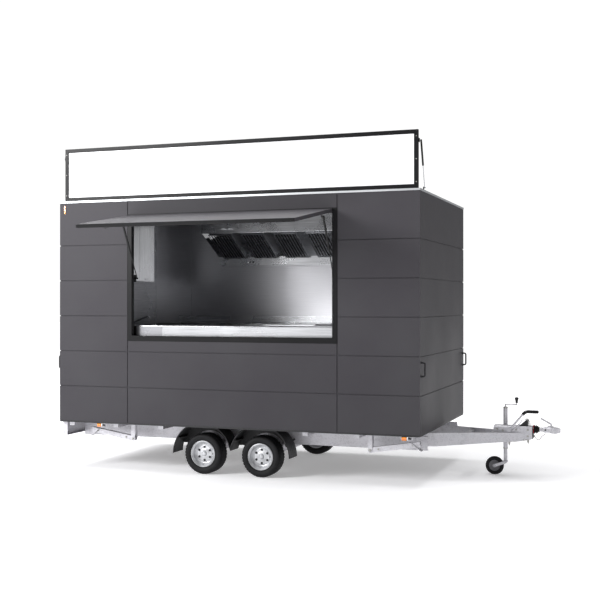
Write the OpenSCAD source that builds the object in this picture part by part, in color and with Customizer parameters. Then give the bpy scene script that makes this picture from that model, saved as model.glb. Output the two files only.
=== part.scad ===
// Catering trailer with two axles, a serving hatch and a folding roof sign.
// X runs forward to the coupling, the serving side faces -Y, Z is up and the ground is z = 0.
// The origin is on the ground, under the middle of the whole outline.

/* [Body] */
// Length of the body over its cladding
body_l = 4200; // [3500:10:5040]
// Width of the body over its cladding
body_w = 2300; // [1915:5:2760]
// Height of the body from its underside to the roof edge
body_h = 2500; // [2080:10:3000]
// Height of the body's underside over the ground
floor_z = 530; // [500:5:640]
// Thickness of the wall panels
wall_t = 50; // [35:1:70]
// Thickness of the floor panel
floor_t = 90; // [60:5:110]
// Thickness of the roof panel
roof_t = 60; // [40:5:80]
// Height of the lowest row of cladding
row_bottom = 413; // [340:1:500]
// Height of the highest row of cladding
row_top = 495; // [410:1:600]
// Width of the joint between two cladding panels
joint_w = 11; // [6:1:16]
// Depth of the joint between two cladding panels
joint_d = 7; // [3:1:12]
// Length of each of the two end modules of the cladding
module_l = 875; // [720:5:1060]
// Height of the dark strip along the foot of the walls
skirt_h = 20; // [10:1:40]
// Thickness of the flashing on the roof
flashing_t = 12; // [6:1:20]

/* [Hatch] */
// Height of the hatch sill over the body's underside
sill_h = 985; // [820:5:1180]
// Depth of the roof and fascia over the hatch hinge
hatch_drop = 200; // [165:5:240]
// Width of the frame at each side of the opening
frame_w = 47; // [40:1:60]
// Height of the frame under the opening
frame_sill = 54; // [44:1:66]
// Height of the frame over the opening
frame_head = 42; // [34:1:52]
// Depth of the frame through the wall
frame_d = 64; // [56:1:90]
// Height left open under the shut hatch, over the counter
hatch_slot = 175; // [120:5:210]
// Thickness of the hatch
hatch_t = 36; // [28:1:46]
// Angle of the open hatch below level
hatch_droop = 9.3; // [5:0.1:15]

/* [Roof sign] */
// Height of the signboard
sign_h = 598; // [480:5:700]
// Distance of the signboard from each end of the body
sign_inset = 33; // [20:1:60]
// Distance of the signboard from the serving face
sign_back = 58; // [40:1:70]
// Thickness of the sign's frame
sign_t = 35; // [28:1:45]
// Height of the sign's hinge line over the flashing
sign_rise = 16; // [14:1:22]

/* [Running gear] */
// Outside diameter of the tyres
tyre_d = 449; // [400:1:470]
// Width of the tyres
tyre_w = 195; // [165:5:205]
// Distance from the serving face to the tyre's outer side
tyre_in = 135; // [120:5:160]
// Distance from the rear face to the middle between the axles
axle_mid = 2070; // [1900:5:2300]
// Distance between the axles
axle_gap = 680; // [600:5:760]
// Distance from a long wall to the outside of its chassis rail
rail_in = 430; // [410:5:480]
// Height of the chassis rails
rail_h = 146; // [120:1:150]
// Width of the chassis rails
rail_w = 50; // [40:1:70]
// Height of the cross members between rail and floor
cross_h = 44; // [36:1:60]
// Radius of the mudguards
guard_r = 349; // [342:1:360]

/* [Drawbar] */
// Distance from the body to the tip of the coupling
nose_l = 1260; // [1240:5:1400]
// Distance from the body to the front ends of the drawbar arms
arm_reach = 875; // [850:5:920]
// Half the width of the drawbar at its front
arm_nose = 60; // [54:1:66]
// Half the width of the drawbar under the front wall
arm_foot = 370; // [330:5:400]
// Height of the drawbar arms at their front ends
arm_tip_h = 85; // [76:1:100]
// Diameter of the coupling ball that the socket takes
ball_d = 50; // [50:0.1:50.8]
// Diameter of the jockey wheel
jockey_d = 200; // [190:5:210]
// Upward travel of the jockey wheel
jockey_travel = 125; // [60:5:125]

/* [Interior] */
// Height of the worktops over the body's underside
top_h = 1100; // [1050:5:1200]
// Depth of the back worktop
back_depth = 650; // [500:5:750]
// Depth of the serving counter, measured from the serving face
front_depth = 650; // [520:5:700]
// Distance from the serving face to the counter's front
apron_in = 95; // [80:1:120]
// Distance from the rear face to the joint between sink unit and counter
unit_split = 1256; // [1150:1:1400]
// Width of the entrance door
door_w = 700; // [600:5:760]
// Height of the entrance door
door_h = 1900; // [1560:5:1950]

/* [Hidden] */
$fn = 48;

// ---- clearances
run_gap = 6;        // between pieces that pass each other
pin_gap = 0.3;      // round a pin, a rod or a stub
seat_gap = 0.3;     // between round pieces that only seat on each other

// ---- body
roof_z = floor_z + body_h;
deck_z = floor_z + floor_t;
ceiling_z = roof_z - roof_t;
flash_z = roof_z + flashing_t;
row_mid = (body_h - row_bottom - row_top) / 4;
joints_z = [for (i = [0:4]) floor_z + row_bottom + i * row_mid];
seams_x = [module_l, body_l - module_l];
skirt_in = 3;

// ---- serving hatch
hole_x0 = module_l;
hole_x1 = body_l - module_l;
open_x0 = hole_x0 + frame_w;
open_x1 = hole_x1 - frame_w;
sill_z = floor_z + sill_h;
head_z = roof_z - hatch_drop;
frame_face = 4;
hatch_axis_out = 15;
hatch_in = 5;
hatch_l = head_z - sill_z - hatch_slot;
hatch_x0 = open_x0 + 1;
hatch_x1 = open_x1 - 1;
hatch_swing = 90 - hatch_droop;
hatch_pin_r = 4;
hatch_barrel_r = 8;
hatch_lug_x = [for (f = [0.02, 0.35, 0.65, 0.98]) hatch_x0 + f * (hatch_x1 - hatch_x0)];
hatch_lug_l = 40;

// ---- gas struts of the hatch, in the hatch's own plane: along it, and out of it
hatch_eye_u = 235;
hatch_eye_n = -30;
jamb_pin_y = 94;
jamb_pin_drop = 670;
hatch_strut_in = 22;
hatch_tube_l = 385;
hatch_tube_r = 11;
hatch_rod_r = 5;
hatch_eye_r = 9;
hatch_skin = 20;
eye_half = 8;
strut_pin_r = 4;
rod_grip = 45;

// ---- roof sign
sign_x0 = sign_inset;
sign_x1 = body_l - sign_inset;
sign_back_face = sign_back + sign_t;
sign_axis_z = flash_z + sign_rise;
sign_z0 = flash_z + 5;
sign_bar = 36;
sign_hinge_x = [256, body_l / 2, body_l - 256];
sign_hinge_l = 64;
sign_pin_r = 5;
sign_knuckle_r = 8;
sign_axis_y = sign_back_face + sign_knuckle_r + 1;
sign_eye_up = 480;
sign_foot_back = 160;
sign_foot_up = 30;
sign_strut_out = 22;
sign_tube_l = 262;
sign_tube_r = 10;
sign_rod_r = 4;
sign_eye_r = 8;

// ---- wheels and axles
tyre_r = tyre_d / 2;
wheel_mid = tyre_in + tyre_w / 2;
wheels_x = [axle_mid - axle_gap / 2, axle_mid + axle_gap / 2];
rim_seat_r = 127;
rim_edge_r = 144.5;
rim_sheet = 4;
drum_r = 98;
drum_in = 62;
drum_back = 147;
spindle_r = 17;
plate_in = drum_back + run_gap;
axle_tube = 80;
axle_ahead = 140;
rail_z0 = floor_z - cross_h - rail_h;
rail_z1 = floor_z - cross_h;
axle_z = rail_z0 - axle_tube / 2;
guard_t = 5;
guard_y0 = tyre_in - 23;
guard_y1 = tyre_in + tyre_w + 15;
guard_top = floor_z - 8;
stay_r = 11;

// ---- drawbar
body_mid = body_w / 2;
arm_slope = (arm_foot - arm_nose) / arm_reach;
arm_angle = atan(arm_slope);
rail_face = body_mid - rail_in;
arm_back = (rail_face - rail_w - arm_nose) / arm_slope - arm_reach;
arm_flange = 45;
sheet = 5;
case_x0 = 559;
case_x1 = 947;
case_half = 62;
case_top = rail_z1 + 70;
nose_x0 = 905;
nose_x1 = 972;
nose_z0 = rail_z1 - 65;
nose_z1 = case_top;
shaft_z = rail_z1 + 37;
shaft_r = 22;
bellows_end = 1043;
head_x0 = 1086;
ball_x = nose_l - 65;
socket_r = ball_d / 2 + 0.2;
socket_l = 36;

// ---- jockey wheel
jockey_x = 666;
jockey_y = 90;
jockey_r = jockey_d / 2;
jockey_trail = 118;
jockey_tube_r = 24;
jockey_bore_r = 20.5;
jockey_leg_r = jockey_bore_r - pin_gap;
jockey_top = rail_z1 + 261;
jockey_low = rail_z0 - 50;
jockey_foot = jockey_r + 60;
jockey_leg_l = 380;
jockey_w = 50;
crank_l = 121;

// ---- steady legs
steady_l = 520;
steady_rise = 9;
steady_pivot_rear = 850;
steady_pivot_front = 570;
steady_pivot_z = floor_z - 178;
steady_y = 200;
steady_w = 50;
steady_h = 54;
steady_pin_r = 8;
steady_pad_drop = 34;
steady_pad_t = 6;
steady_pad_l = 130;

// ---- interior
top_z = floor_z + top_h;
top_t = 40;
kitchen_x0 = wall_t + 350;
door_x1 = body_l - 105;
door_x0 = door_x1 - door_w;
door_z0 = deck_z + 10;
kitchen_x1 = door_x0 - 60;
counter_x1 = open_x1 + 40;
hood_x0 = unit_split - 239;
hood_x1 = kitchen_x1 - 40;
hood_low = ceiling_z - 598;
hood_front = ceiling_z - 214;
hood_back = hood_low + 111;
hood_depth = back_depth - 10;
hood_lip = 100;
filter_w = 300;
filter_pitch = 430;
filter_t = 22;
basin = [400, 340, 160];
basin_at = [unit_split - 520, 200];

// ---- outer hardware
handle_out = 48;
handle_l = 157;
handle_z = floor_z + 679;
handle_edge = 55;
handle_r = 9;
lever_out = 45;
lamp_bar_x1 = 64;

// ---- outline, which places the origin
x_front = body_l + nose_l;
x_rear = -handle_out;
y_front = -(hatch_axis_out + hatch_l * cos(hatch_droop)
            + (hatch_t - hatch_in) * sin(hatch_droop));
y_back = body_w + lever_out;
mid_x = (x_front + x_rear) / 2;
mid_y = (y_front + y_back) / 2;

// ---- repeated pieces: [name, place]
// wheels: name, axle, side (-1 is the serving side)
WHEELS = [["rear_right", wheels_x[0], -1], ["front_right", wheels_x[1], -1],
          ["rear_left", wheels_x[0], 1], ["front_left", wheels_x[1], 1]];
// steady legs: name, end (-1 is the rear), side
STEADIES = [["rear_right", -1, -1], ["front_right", 1, -1],
            ["rear_left", -1, 1], ["front_left", 1, 1]];
ENDS = [["rear", -1], ["front", 1]];

NODES = concat(
    ["chassis_rails", "cross_members", "drawbar", "overrun_hitch", "coupling_head",
     "hitch_bellows", "handbrake_lever", "jockey_outer_tube", "axles", "mudguards", "floor_panel",
     "roof_panel", "serving_wall", "back_wall", "rear_wall", "front_wall", "hatch_frame",
     "back_worktop", "serving_counter", "sink_unit", "faucet", "extractor_hood",
     "wall_cabinet", "rear_lamp_bar", "rear_lamps", "marker_lamps", "grab_handles",
     "steady_brackets", "sign_hinges", "door_hinges", "wheel_chock", "breakaway_cable",
     "serving_hatch", "sign_frame", "sign_panel", "entrance_door",
     "jockey_leg", "jockey_fork", "jockey_wheel"],
    [for (w = WHEELS) str("tyre_", w[0])],
    [for (w = WHEELS) str("rim_", w[0])],
    [for (s = STEADIES) str("steady_leg_", s[0])],
    [for (e = ENDS) str("hatch_strut_tube_", e[0])],
    [for (e = ENDS) str("hatch_strut_rod_", e[0])],
    [for (e = ENDS) str("sign_strut_tube_", e[0])],
    [for (e = ENDS) str("sign_strut_rod_", e[0])]);
node = "all";

// ================================================================ helpers

module in_frame() translate([-mid_x, -mid_y, 0]) children();

function shows(name) = node == "all" || node == name;

// a box from one corner to the opposite one
module block(a, b) translate(a) cube(b - a);

// round bars along the three axes, from a point
module bar_x(p, r, l) translate(p) rotate([0, 90, 0]) cylinder(r = r, h = l);
module bar_y(p, r, l) translate(p) rotate([-90, 0, 0]) cylinder(r = r, h = l);
module bar_z(p, r, l) translate(p) cylinder(r = r, h = l);

// an outline in the X-Z plane, thickened towards +Y
module slab_y(y0, y1) translate([0, y1, 0]) rotate([90, 0, 0]) linear_extrude(y1 - y0) children();

// an outline in the Y-Z plane, thickened towards +X
module slab_x(x0, x1)
    translate([x0, 0, 0]) rotate([90, 0, 90]) linear_extrude(x1 - x0) children();

// puts a copy on the far side of the body as well
module both_sides() {
    children();
    translate([0, body_w, 0]) mirror([0, 1, 0]) children();
}

// puts a piece on the side that is asked for
module on_side(side) {
    if (side < 0) children();
    else translate([0, body_w, 0]) mirror([0, 1, 0]) children();
}

// ================================================================ body

// all the joints of the cladding, as cutters round the body
module cladding_joints() {
    for (z = joints_z) joint_ring(z - joint_w / 2, joint_w, joint_d);
    joint_ring(floor_z - 1, skirt_h + 1, skirt_in);
    for (x = seams_x) {
        block([x - joint_w / 2, -1, floor_z - 1], [x + joint_w / 2, joint_d, roof_z + 1]);
        block([x - joint_w / 2, body_w - joint_d, floor_z - 1],
              [x + joint_w / 2, body_w + 1, roof_z + 1]);
    }
}

module joint_ring(z, h, d) difference() {
    block([-1, -1, z], [body_l + 1, body_w + 1, z + h]);
    block([d, d, z - 1], [body_l - d, body_w - d, z + h + 1]);
}

module floor_panel() color("dimgray")
    block([wall_t, wall_t, floor_z], [body_l - wall_t, body_w - wall_t, deck_z]);

module roof_panel() color("silver") {
    block([wall_t, wall_t, ceiling_z], [body_l - wall_t, body_w - wall_t, roof_z]);
    block([-4, -4, roof_z], [body_l + 4, body_w + 4, flash_z]);
}

module serving_wall() color("#3b3b3e") difference() {
    block([0, 0, floor_z], [body_l, wall_t, roof_z]);
    cladding_joints();
    block([hole_x0, -1, sill_z - frame_sill], [hole_x1, wall_t + 1, head_z + frame_head]);
}

module back_wall() color("#3b3b3e") difference() {
    block([0, body_w - wall_t, floor_z], [body_l, body_w, roof_z]);
    cladding_joints();
    block([door_x0 - run_gap, body_w - wall_t - 1, door_z0 - run_gap],
          [door_x1 + run_gap, body_w + 1, door_z0 + door_h + run_gap]);
}

module end_wall(x) color("#353538") difference() {
    block([x, wall_t, floor_z], [x + wall_t, body_w - wall_t, roof_z]);
    cladding_joints();
}

// black frame that lines the opening, with the hatch's hinge rod and the strut pins
module hatch_frame() color("#18181a") {
    difference() {
        block([hole_x0, -frame_face, sill_z - frame_sill],
              [hole_x1, frame_d - frame_face, head_z + frame_head]);
        block([open_x0, -frame_face - 1, sill_z], [open_x1, frame_d, head_z - hatch_barrel_r - 3]);
    }
    for (x = hatch_lug_x) block([x - hatch_lug_l / 2, -hatch_axis_out - 6, head_z - 6],
                                [x + hatch_lug_l / 2, -frame_face, head_z + 6]);
    bar_x([hatch_lug_x[0], -hatch_axis_out, head_z], hatch_pin_r,
          hatch_lug_x[3] - hatch_lug_x[0]);
    for (e = ENDS) strut_plate(e[1]);
}

// plate inside the jamb, with the boss that the strut's rod meets
module strut_plate(end) {
    x = end < 0 ? open_x0 - 8 : open_x1;
    z = head_z - jamb_pin_drop;
    face = end < 0 ? open_x0 - 1 : strut_x(end) + eye_half + seat_gap;
    block([x, frame_d - frame_face - 1, z - 40], [x + 8, jamb_pin_y + 20, z + 40]);
    bar_x([face, jamb_pin_y, z], hatch_eye_r, hatch_strut_in + 1 - eye_half - seat_gap);
}

// ================================================================ struts

// a strut lies in a plane across the body: its local +Z runs from p to q, both [y, z]
module strut_between(x, p, q) translate([x, p.x, p.y])
    rotate([atan2(p.x - q.x, q.y - p.y), 0, 0]) children();

module strut_tube(r, l, rod_r, eye_r) difference() {
    union() {
        cylinder(r = r, h = l);
        bar_x([-eye_half, 0, 0], eye_r, 2 * eye_half);
    }
    bar_x([-20, 0, 0], strut_pin_r + pin_gap, 40);
    translate([0, 0, 40]) cylinder(r = rod_r + pin_gap, h = l);
    // flats beside the eye
    for (x = [-20, eye_half]) block([x, -20, -1], [x + 20 - eye_half, 20, 14]);
}

// rod from inside the tube to the far eye
module strut_rod(reach, r, l, eye_r) {
    translate([0, 0, l - rod_grip]) cylinder(r = r, h = reach - l + rod_grip);
    bar_x([-eye_half, 0, reach], eye_r, 2 * eye_half);
}

// ================================================================ hatch

// the hatch in its own plane: -Z runs down its length, +Y out of its inner face, axis at 0
module hatch_place() translate([0, -hatch_axis_out, head_z])
    rotate([-hatch_swing, 0, 0]) mirror([0, 1, 0]) children();

// a point of the hatch, u along it and n out of it, with the hatch raised by swing: [y, z]
function hatch_point(u, n, swing) = [-hatch_axis_out - n * cos(swing) - u * sin(swing),
                                     head_z + n * sin(swing) - u * cos(swing)];

function strut_x(end) = end < 0 ? open_x0 + hatch_strut_in : open_x1 - hatch_strut_in;

hatch_eye_open = hatch_point(hatch_eye_u, hatch_eye_n, hatch_swing);
hatch_eye_shut = hatch_point(hatch_eye_u, hatch_eye_n, 0);
jamb_pin = [jamb_pin_y, head_z - jamb_pin_drop];
hatch_reach_open = norm(jamb_pin - hatch_eye_open);
hatch_reach_shut = norm(jamb_pin - hatch_eye_shut);

module serving_hatch() color("#3b3b3e") hatch_place() {
    difference() {
        union() {
            block([hatch_x0, -hatch_in, -hatch_l], [hatch_x1, hatch_t - hatch_in, 0]);
            bar_x([hatch_x0, 0, 0], hatch_barrel_r, hatch_x1 - hatch_x0);
        }
        bar_x([hatch_x0 - 1, 0, 0], hatch_pin_r + pin_gap, hatch_x1 - hatch_x0 + 2);
        for (x = hatch_lug_x) bar_x([x - hatch_lug_l / 2 - 2, 0, 0], 15, hatch_lug_l + 4);
        // tray between the folded edges
        block([hatch_x0 + 30, -hatch_in - 1, -hatch_l + 30],
              [hatch_x1 - 30, hatch_t - hatch_in - hatch_skin, -70]);
    }
    for (e = ENDS) hatch_bracket(e[1]);
}

// ear under the hatch with the pin of the strut's tube
module hatch_bracket(end) {
    ear = strut_x(end) - end * (hatch_tube_r + 6);
    tip = strut_x(end) + end * (eye_half + 1);
    top = hatch_t - hatch_in - hatch_skin;
    block([min(ear, ear - end * 5), hatch_eye_n - 8, -hatch_eye_u - 12],
          [max(ear, ear - end * 5), top + 1, -hatch_eye_u + 12]);
    block([min(ear, ear - end * 50), top - 5, -hatch_eye_u - 30],
          [max(ear, ear - end * 50), top + 1, -hatch_eye_u + 30]);
    bar_x([min(ear, tip), hatch_eye_n, -hatch_eye_u], strut_pin_r, abs(ear - tip));
}

module hatch_strut_tube(end) color("#1c1c1e")
    strut_between(strut_x(end), hatch_eye_open, jamb_pin)
        strut_tube(hatch_tube_r, hatch_tube_l, hatch_rod_r, hatch_eye_r);

module hatch_strut_rod(end) color("#2a2a2c")
    strut_between(strut_x(end), hatch_eye_open, jamb_pin)
        strut_rod(hatch_reach_open, hatch_rod_r, hatch_tube_l, hatch_eye_r);

// ================================================================ roof sign

function sign_strut_x(end) = end < 0 ? sign_x0 - sign_strut_out : sign_x1 + sign_strut_out;

sign_eye = [sign_axis_y, sign_axis_z + sign_eye_up];
sign_eye_down = [sign_axis_y + sign_eye_up, sign_axis_z];
sign_foot = [sign_axis_y + sign_foot_back, flash_z + sign_foot_up];
sign_reach_up = norm(sign_foot - sign_eye);
sign_reach_down = norm(sign_foot - sign_eye_down);

module sign_frame() color("#26262a") {
    difference() {
        block([sign_x0, sign_back, sign_z0], [sign_x1, sign_back_face, sign_z0 + sign_h]);
        block([sign_x0 + sign_bar, sign_back - 1, sign_z0 + sign_bar],
              [sign_x1 - sign_bar, sign_back_face + 1, sign_z0 + sign_h - sign_bar]);
    }
    for (x = sign_hinge_x) difference() {
        union() {
            bar_x([x - 15, sign_axis_y, sign_axis_z], sign_knuckle_r, 30);
            block([x - 15, sign_back_face - 1, sign_axis_z - 6],
                  [x + 15, sign_axis_y, sign_axis_z + sign_knuckle_r]);
        }
        bar_x([x - 16, sign_axis_y, sign_axis_z], sign_pin_r + pin_gap, 32);
    }
    for (e = ENDS) {
        end = e[1] < 0 ? sign_x0 : sign_x1;
        tip = sign_strut_x(e[1]) + e[1] * (eye_half + 1);
        bar_x([min(end, tip), sign_eye.x, sign_eye.y], strut_pin_r, abs(end - tip));
        block([min(end, end + e[1] * 8), sign_back + 6, sign_eye.y - 20],
              [max(end, end + e[1] * 8), sign_axis_y + 7, sign_eye.y + 20]);
    }
}

module sign_panel() color("white")
    block([sign_x0 + sign_bar + seat_gap, sign_back + 8, sign_z0 + sign_bar + seat_gap],
          [sign_x1 - sign_bar - seat_gap, sign_back + 20,
           sign_z0 + sign_h - sign_bar - seat_gap]);

// hinge blocks under the sign and the feet of its struts
module sign_hinges() color("#202022") {
    half = sign_hinge_l / 2;
    for (x = sign_hinge_x) {
        block([x - half, sign_axis_y - sign_knuckle_r, flash_z],
              [x + half, sign_axis_y + 30, flash_z + 4]);
        bar_x([x - half, sign_axis_y, sign_axis_z], sign_pin_r, sign_hinge_l);
        for (lug = [x - half, x + 17]) {
            bar_x([lug, sign_axis_y, sign_axis_z], sign_knuckle_r, half - 17);
            block([lug, sign_axis_y - sign_knuckle_r, flash_z],
                  [lug + half - 17, sign_axis_y + sign_knuckle_r, sign_axis_z]);
        }
    }
    for (e = ENDS) {
        x = sign_strut_x(e[1]) - e[1] * (eye_half + seat_gap);
        block([min(x, x - e[1] * 6), sign_foot.x - 14, flash_z],
              [max(x, x - e[1] * 6), sign_foot.x + 14, sign_foot.y + 10]);
        block([min(x, x - e[1] * 40), sign_foot.x - 20, flash_z],
              [max(x, x - e[1] * 40), sign_foot.x + 20, flash_z + 4]);
    }
}

module sign_strut_tube(end) color("#1c1c1e")
    strut_between(sign_strut_x(end), sign_eye, sign_foot)
        strut_tube(sign_tube_r, sign_tube_l, sign_rod_r, sign_eye_r);

module sign_strut_rod(end) color("#b9b9bd")
    strut_between(sign_strut_x(end), sign_eye, sign_foot)
        strut_rod(sign_reach_up, sign_rod_r, sign_tube_l, sign_eye_r);

// ================================================================ entrance door

door_axis = [door_x1 + run_gap / 2, body_w + 10];
door_hinge_z = [for (f = [0.12, 0.5, 0.88]) door_z0 + f * door_h];
door_pin_r = 4;
door_barrel_r = 8;
door_knuckle = 50;

module entrance_door() color("#3b3b3e") {
    difference() {
        block([door_x0, body_w - wall_t, door_z0], [door_x1, body_w, door_z0 + door_h]);
        cladding_joints();
    }
    for (z = door_hinge_z) difference() {
        union() {
            bar_z([door_axis.x, door_axis.y, z + 1], door_barrel_r, door_knuckle - 1);
            block([door_x1 - 45, body_w - 1, z + 1], [door_axis.x, body_w + 4, z + door_knuckle]);
        }
        bar_z([door_axis.x, door_axis.y, z], door_pin_r + pin_gap, door_knuckle + 1);
    }
    // lever handle on its plate
    z = door_z0 + 980;
    block([door_x0 + 40, body_w - 1, z - 70], [door_x0 + 80, body_w + 8, z + 70]);
    bar_y([door_x0 + 60, body_w, z + 25], 9, lever_out - 9);
    block([door_x0 + 51, body_w + lever_out - 16, z + 16], [door_x0 + 180, body_w + lever_out, z + 34]);
}

module door_hinges() color("#202022") for (z = door_hinge_z) {
    bar_z([door_axis.x, door_axis.y, z - door_knuckle], door_barrel_r, door_knuckle);
    bar_z([door_axis.x, door_axis.y, z - door_knuckle], door_pin_r, 2 * door_knuckle);
    block([door_axis.x, body_w, z - door_knuckle], [door_x1 + run_gap + 45, body_w + 4, z]);
}

// ================================================================ interior

module serving_counter() color("#c9cacd") counter_body(unit_split, counter_x1);

// cabinet with a worktop whose front stands up as an apron
module counter_body(x0, x1) {
    block([x0, wall_t, deck_z], [x1, front_depth - 30, sill_z - frame_sill]);
    block([x0, apron_in, sill_z - frame_sill - 1], [x1, front_depth - 30, top_z - top_t]);
    block([x0, apron_in, top_z - top_t - 1], [x1, front_depth, top_z]);
}

module sink_unit() color("#b4b5b8") difference() {
    counter_body(kitchen_x0, unit_split - 1);
    block([basin_at.x, basin_at.y, top_z - basin.z],
          [basin_at.x + basin.x, basin_at.y + basin.y, top_z + 1]);
}

// slanted spout on a round foot beside the basin, its mouth over the basin's middle
module faucet() color("#d8d8dc") {
    foot = [basin_at.x - 32, basin_at.y + basin.y / 2];
    slant = 69;
    spout_l = (basin.x / 2 + 28) / sin(slant);
    bar_z([foot.x, foot.y, top_z], 24, 10);
    bar_z([foot.x, foot.y, top_z], 16, 30);
    translate([foot.x, foot.y, top_z + 17]) {
        rotate([0, slant, 0]) cylinder(r = 9, h = spout_l);
        translate([spout_l * sin(slant), 0, spout_l * cos(slant)]) {
            sphere(r = 10);
            rotate([0, 144, 0]) cylinder(r = 9, h = 50);
        }
        rotate([0, -40, 0]) cylinder(r = 7, h = 72);
    }
}

module back_worktop() color("#c3c4c7") {
    y0 = body_w - wall_t - back_depth;
    y1 = body_w - wall_t;
    block([kitchen_x0, y0 + 30, deck_z], [kitchen_x1, y1, top_z - top_t]);
    block([kitchen_x0, y0, top_z - top_t - 1], [kitchen_x1, y1, top_z]);
    block([kitchen_x0, y1 - 20, top_z - 1], [kitchen_x1, y1, top_z + 90]);
}

// closed hood; its filters lie in the slope that rises to the front
module extractor_hood() color("#cdced1") {
    y1 = body_w - wall_t;
    y0 = y1 - hood_depth;
    slab_x(hood_x0, hood_x1) polygon([[y0, hood_front], [y0 + 14, hood_front],
        [y0 + 14, hood_front + 10], [y1 - hood_lip, hood_back], [y1 - hood_lip, hood_low],
        [y1, hood_low], [y1, ceiling_z], [y0, ceiling_z]]);
    slope = atan2(hood_back - hood_front - 10, hood_depth - hood_lip - 14);
    run = norm([hood_depth - hood_lip - 14, hood_back - hood_front - 10]);
    count = floor((hood_x1 - hood_x0 - 60) / filter_pitch);
    first = hood_x0 + 60 + (hood_x1 - hood_x0 - 60 - count * filter_pitch) / 2;
    for (i = [0:count - 1]) translate([first + i * filter_pitch, y0 + 14, hood_front + 10])
        rotate([slope, 0, 0])
            block([0, 22, -filter_t], [filter_w, run - 22, 2]);
}

module wall_cabinet() color("#c6c7ca")
    block([wall_t, wall_t, ceiling_z - 815], [wall_t + 325, body_w - 730, ceiling_z]);

// ================================================================ outer fittings

// D handle on an end face, standing out towards -X
module grab_handle() {
    bend = 18;
    reach = handle_out - bend - handle_r;
    straight = handle_l / 2 - bend - handle_r;
    bar_z([-reach - bend, 0, -straight], handle_r, 2 * straight);
    for (m = [0, 1]) mirror([0, 0, m]) {
        bar_x([-reach, 0, straight + bend], handle_r, reach);
        translate([-reach, 0, straight]) rotate([90, 0, 0]) rotate([0, 0, 90])
            rotate_extrude(angle = 90) translate([bend, 0]) circle(r = handle_r);
    }
}

module grab_handles() color("#161618") both_sides() {
    translate([0, handle_edge, handle_z]) grab_handle();
    translate([body_l, handle_edge, handle_z]) mirror([1, 0, 0]) grab_handle();
}

// amber lamps under the skirt and a small lamp high up at each rear corner
module marker_lamps() color("orange") both_sides() {
    for (x = [511, body_l - 161])
        block([x - 33, 12, floor_z - 42], [x + 33, 40, floor_z]);
    block([54, -6, roof_z - 135], [79, 0, roof_z - 35]);
}

// folded channel across the rear, open to the front
module rear_lamp_bar() color("#b7b8ba") difference() {
    block([4, 60, floor_z - 158], [lamp_bar_x1, body_w - 60, floor_z]);
    block([8, 64, floor_z - 154], [lamp_bar_x1 + 1, body_w - 64, floor_z - 4]);
}

module rear_lamps() color("#8a1a1a") both_sides() {
    block([-14, 110, floor_z - 128], [4, 400, floor_z - 30]);
    block([-8, 440, floor_z - 110], [4, 500, floor_z - 60]);
}

// ================================================================ wheels and axles

// a wheel lies with its axis along Y and its outer side at local y = 0
module wheel_place(w) on_side(w[2]) translate([w[1], tyre_in, tyre_r]) rotate([-90, 0, 0])
    children();

function mirrored(points, width) = [for (i = [len(points) - 1:-1:0])
    [points[i].x, width - points[i].y]];

module tyre(w) color("#1b1b1c") wheel_place(w) rotate_extrude($fn = 96) {
    half = [[rim_seat_r + seat_gap, tyre_w / 2], [rim_seat_r + seat_gap, 27],
            [rim_seat_r + 5, 23], [rim_edge_r, 19], [rim_edge_r + 2.5, 15],
            [rim_edge_r + 16, 4], [tyre_r - 42, 0], [tyre_r - 20, 5],
            [tyre_r - 6, 15], [tyre_r, 32], [tyre_r, tyre_w / 2]];
    polygon(half);
    polygon(mirrored(half, tyre_w));
}

module rim(w) color("#c8c9cb") wheel_place(w) difference() {
    union() {
        rotate_extrude($fn = 96) {
            half = [[rim_edge_r, 14], [rim_edge_r, 18], [rim_seat_r + 5, 22],
                    [rim_seat_r, 26], [rim_seat_r, 56], [112, 66], [112, tyre_w / 2],
                    [112 - rim_sheet, tyre_w / 2], [112 - rim_sheet, 64],
                    [rim_seat_r - rim_sheet, 54], [rim_seat_r - rim_sheet, 25],
                    [rim_seat_r + 1, 19]];
            polygon(half);
            polygon(mirrored(half, tyre_w));
            // disc, dished round the hub
            polygon([[0, drum_in - 8], [50, drum_in - 8], [62, drum_in - 4], [84, drum_in - 4],
                     [94, drum_in + 4], [110, drum_in + 8], [110, drum_in + 14],
                     [90, drum_in + 10], [80, drum_in + 3], [0, drum_in + 3]]);
        }
        translate([0, 0, drum_in]) cylinder(r = drum_r, h = drum_back - drum_in);
        translate([0, 0, drum_in - 24]) cylinder(r = 27, h = 26);
        translate([0, 0, drum_in - 30]) cylinder(r = 21, h = 8);
    }
    translate([0, 0, drum_in + 12]) cylinder(r = spindle_r + pin_gap, h = drum_back);
    for (i = [0:5]) rotate(60 * i + 30) translate([73, 0, drum_in - 10]) cylinder(r = 7, h = 9);
}

// square tubes across, a trailing arm at each end, the brake plate and the stub
module axles() color("#a9aaac") {
    for (x = wheels_x) block([x + axle_ahead - axle_tube / 2, guard_y1 + 27, axle_z - axle_tube / 2],
                             [x + axle_ahead + axle_tube / 2, body_w - guard_y1 - 27,
                              axle_z + axle_tube / 2]);
    for (w = WHEELS) on_side(w[2]) {
        inner = tyre_in + tyre_w + 10;
        bar_y([w[1], tyre_in + drum_in + 16, tyre_r], spindle_r, inner - tyre_in - drum_in - 10);
        bar_y([w[1], tyre_in + plate_in, tyre_r], drum_r, 6);
        bar_y([w[1], tyre_in + plate_in + 5, tyre_r], 36, inner - tyre_in - plate_in - 4);
        slab_y(inner, guard_y1 + 28) {
            rise = axle_z - tyre_r;
            run = norm([axle_ahead, rise]);
            translate([w[1], tyre_r]) circle(r = 36);
            translate([w[1] + axle_ahead, axle_z]) circle(r = 44);
            translate([w[1], tyre_r]) rotate(atan2(rise, axle_ahead))
                polygon([[0, -34], [run, -42], [run, 42], [0, 34]]);
        }
    }
}

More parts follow.
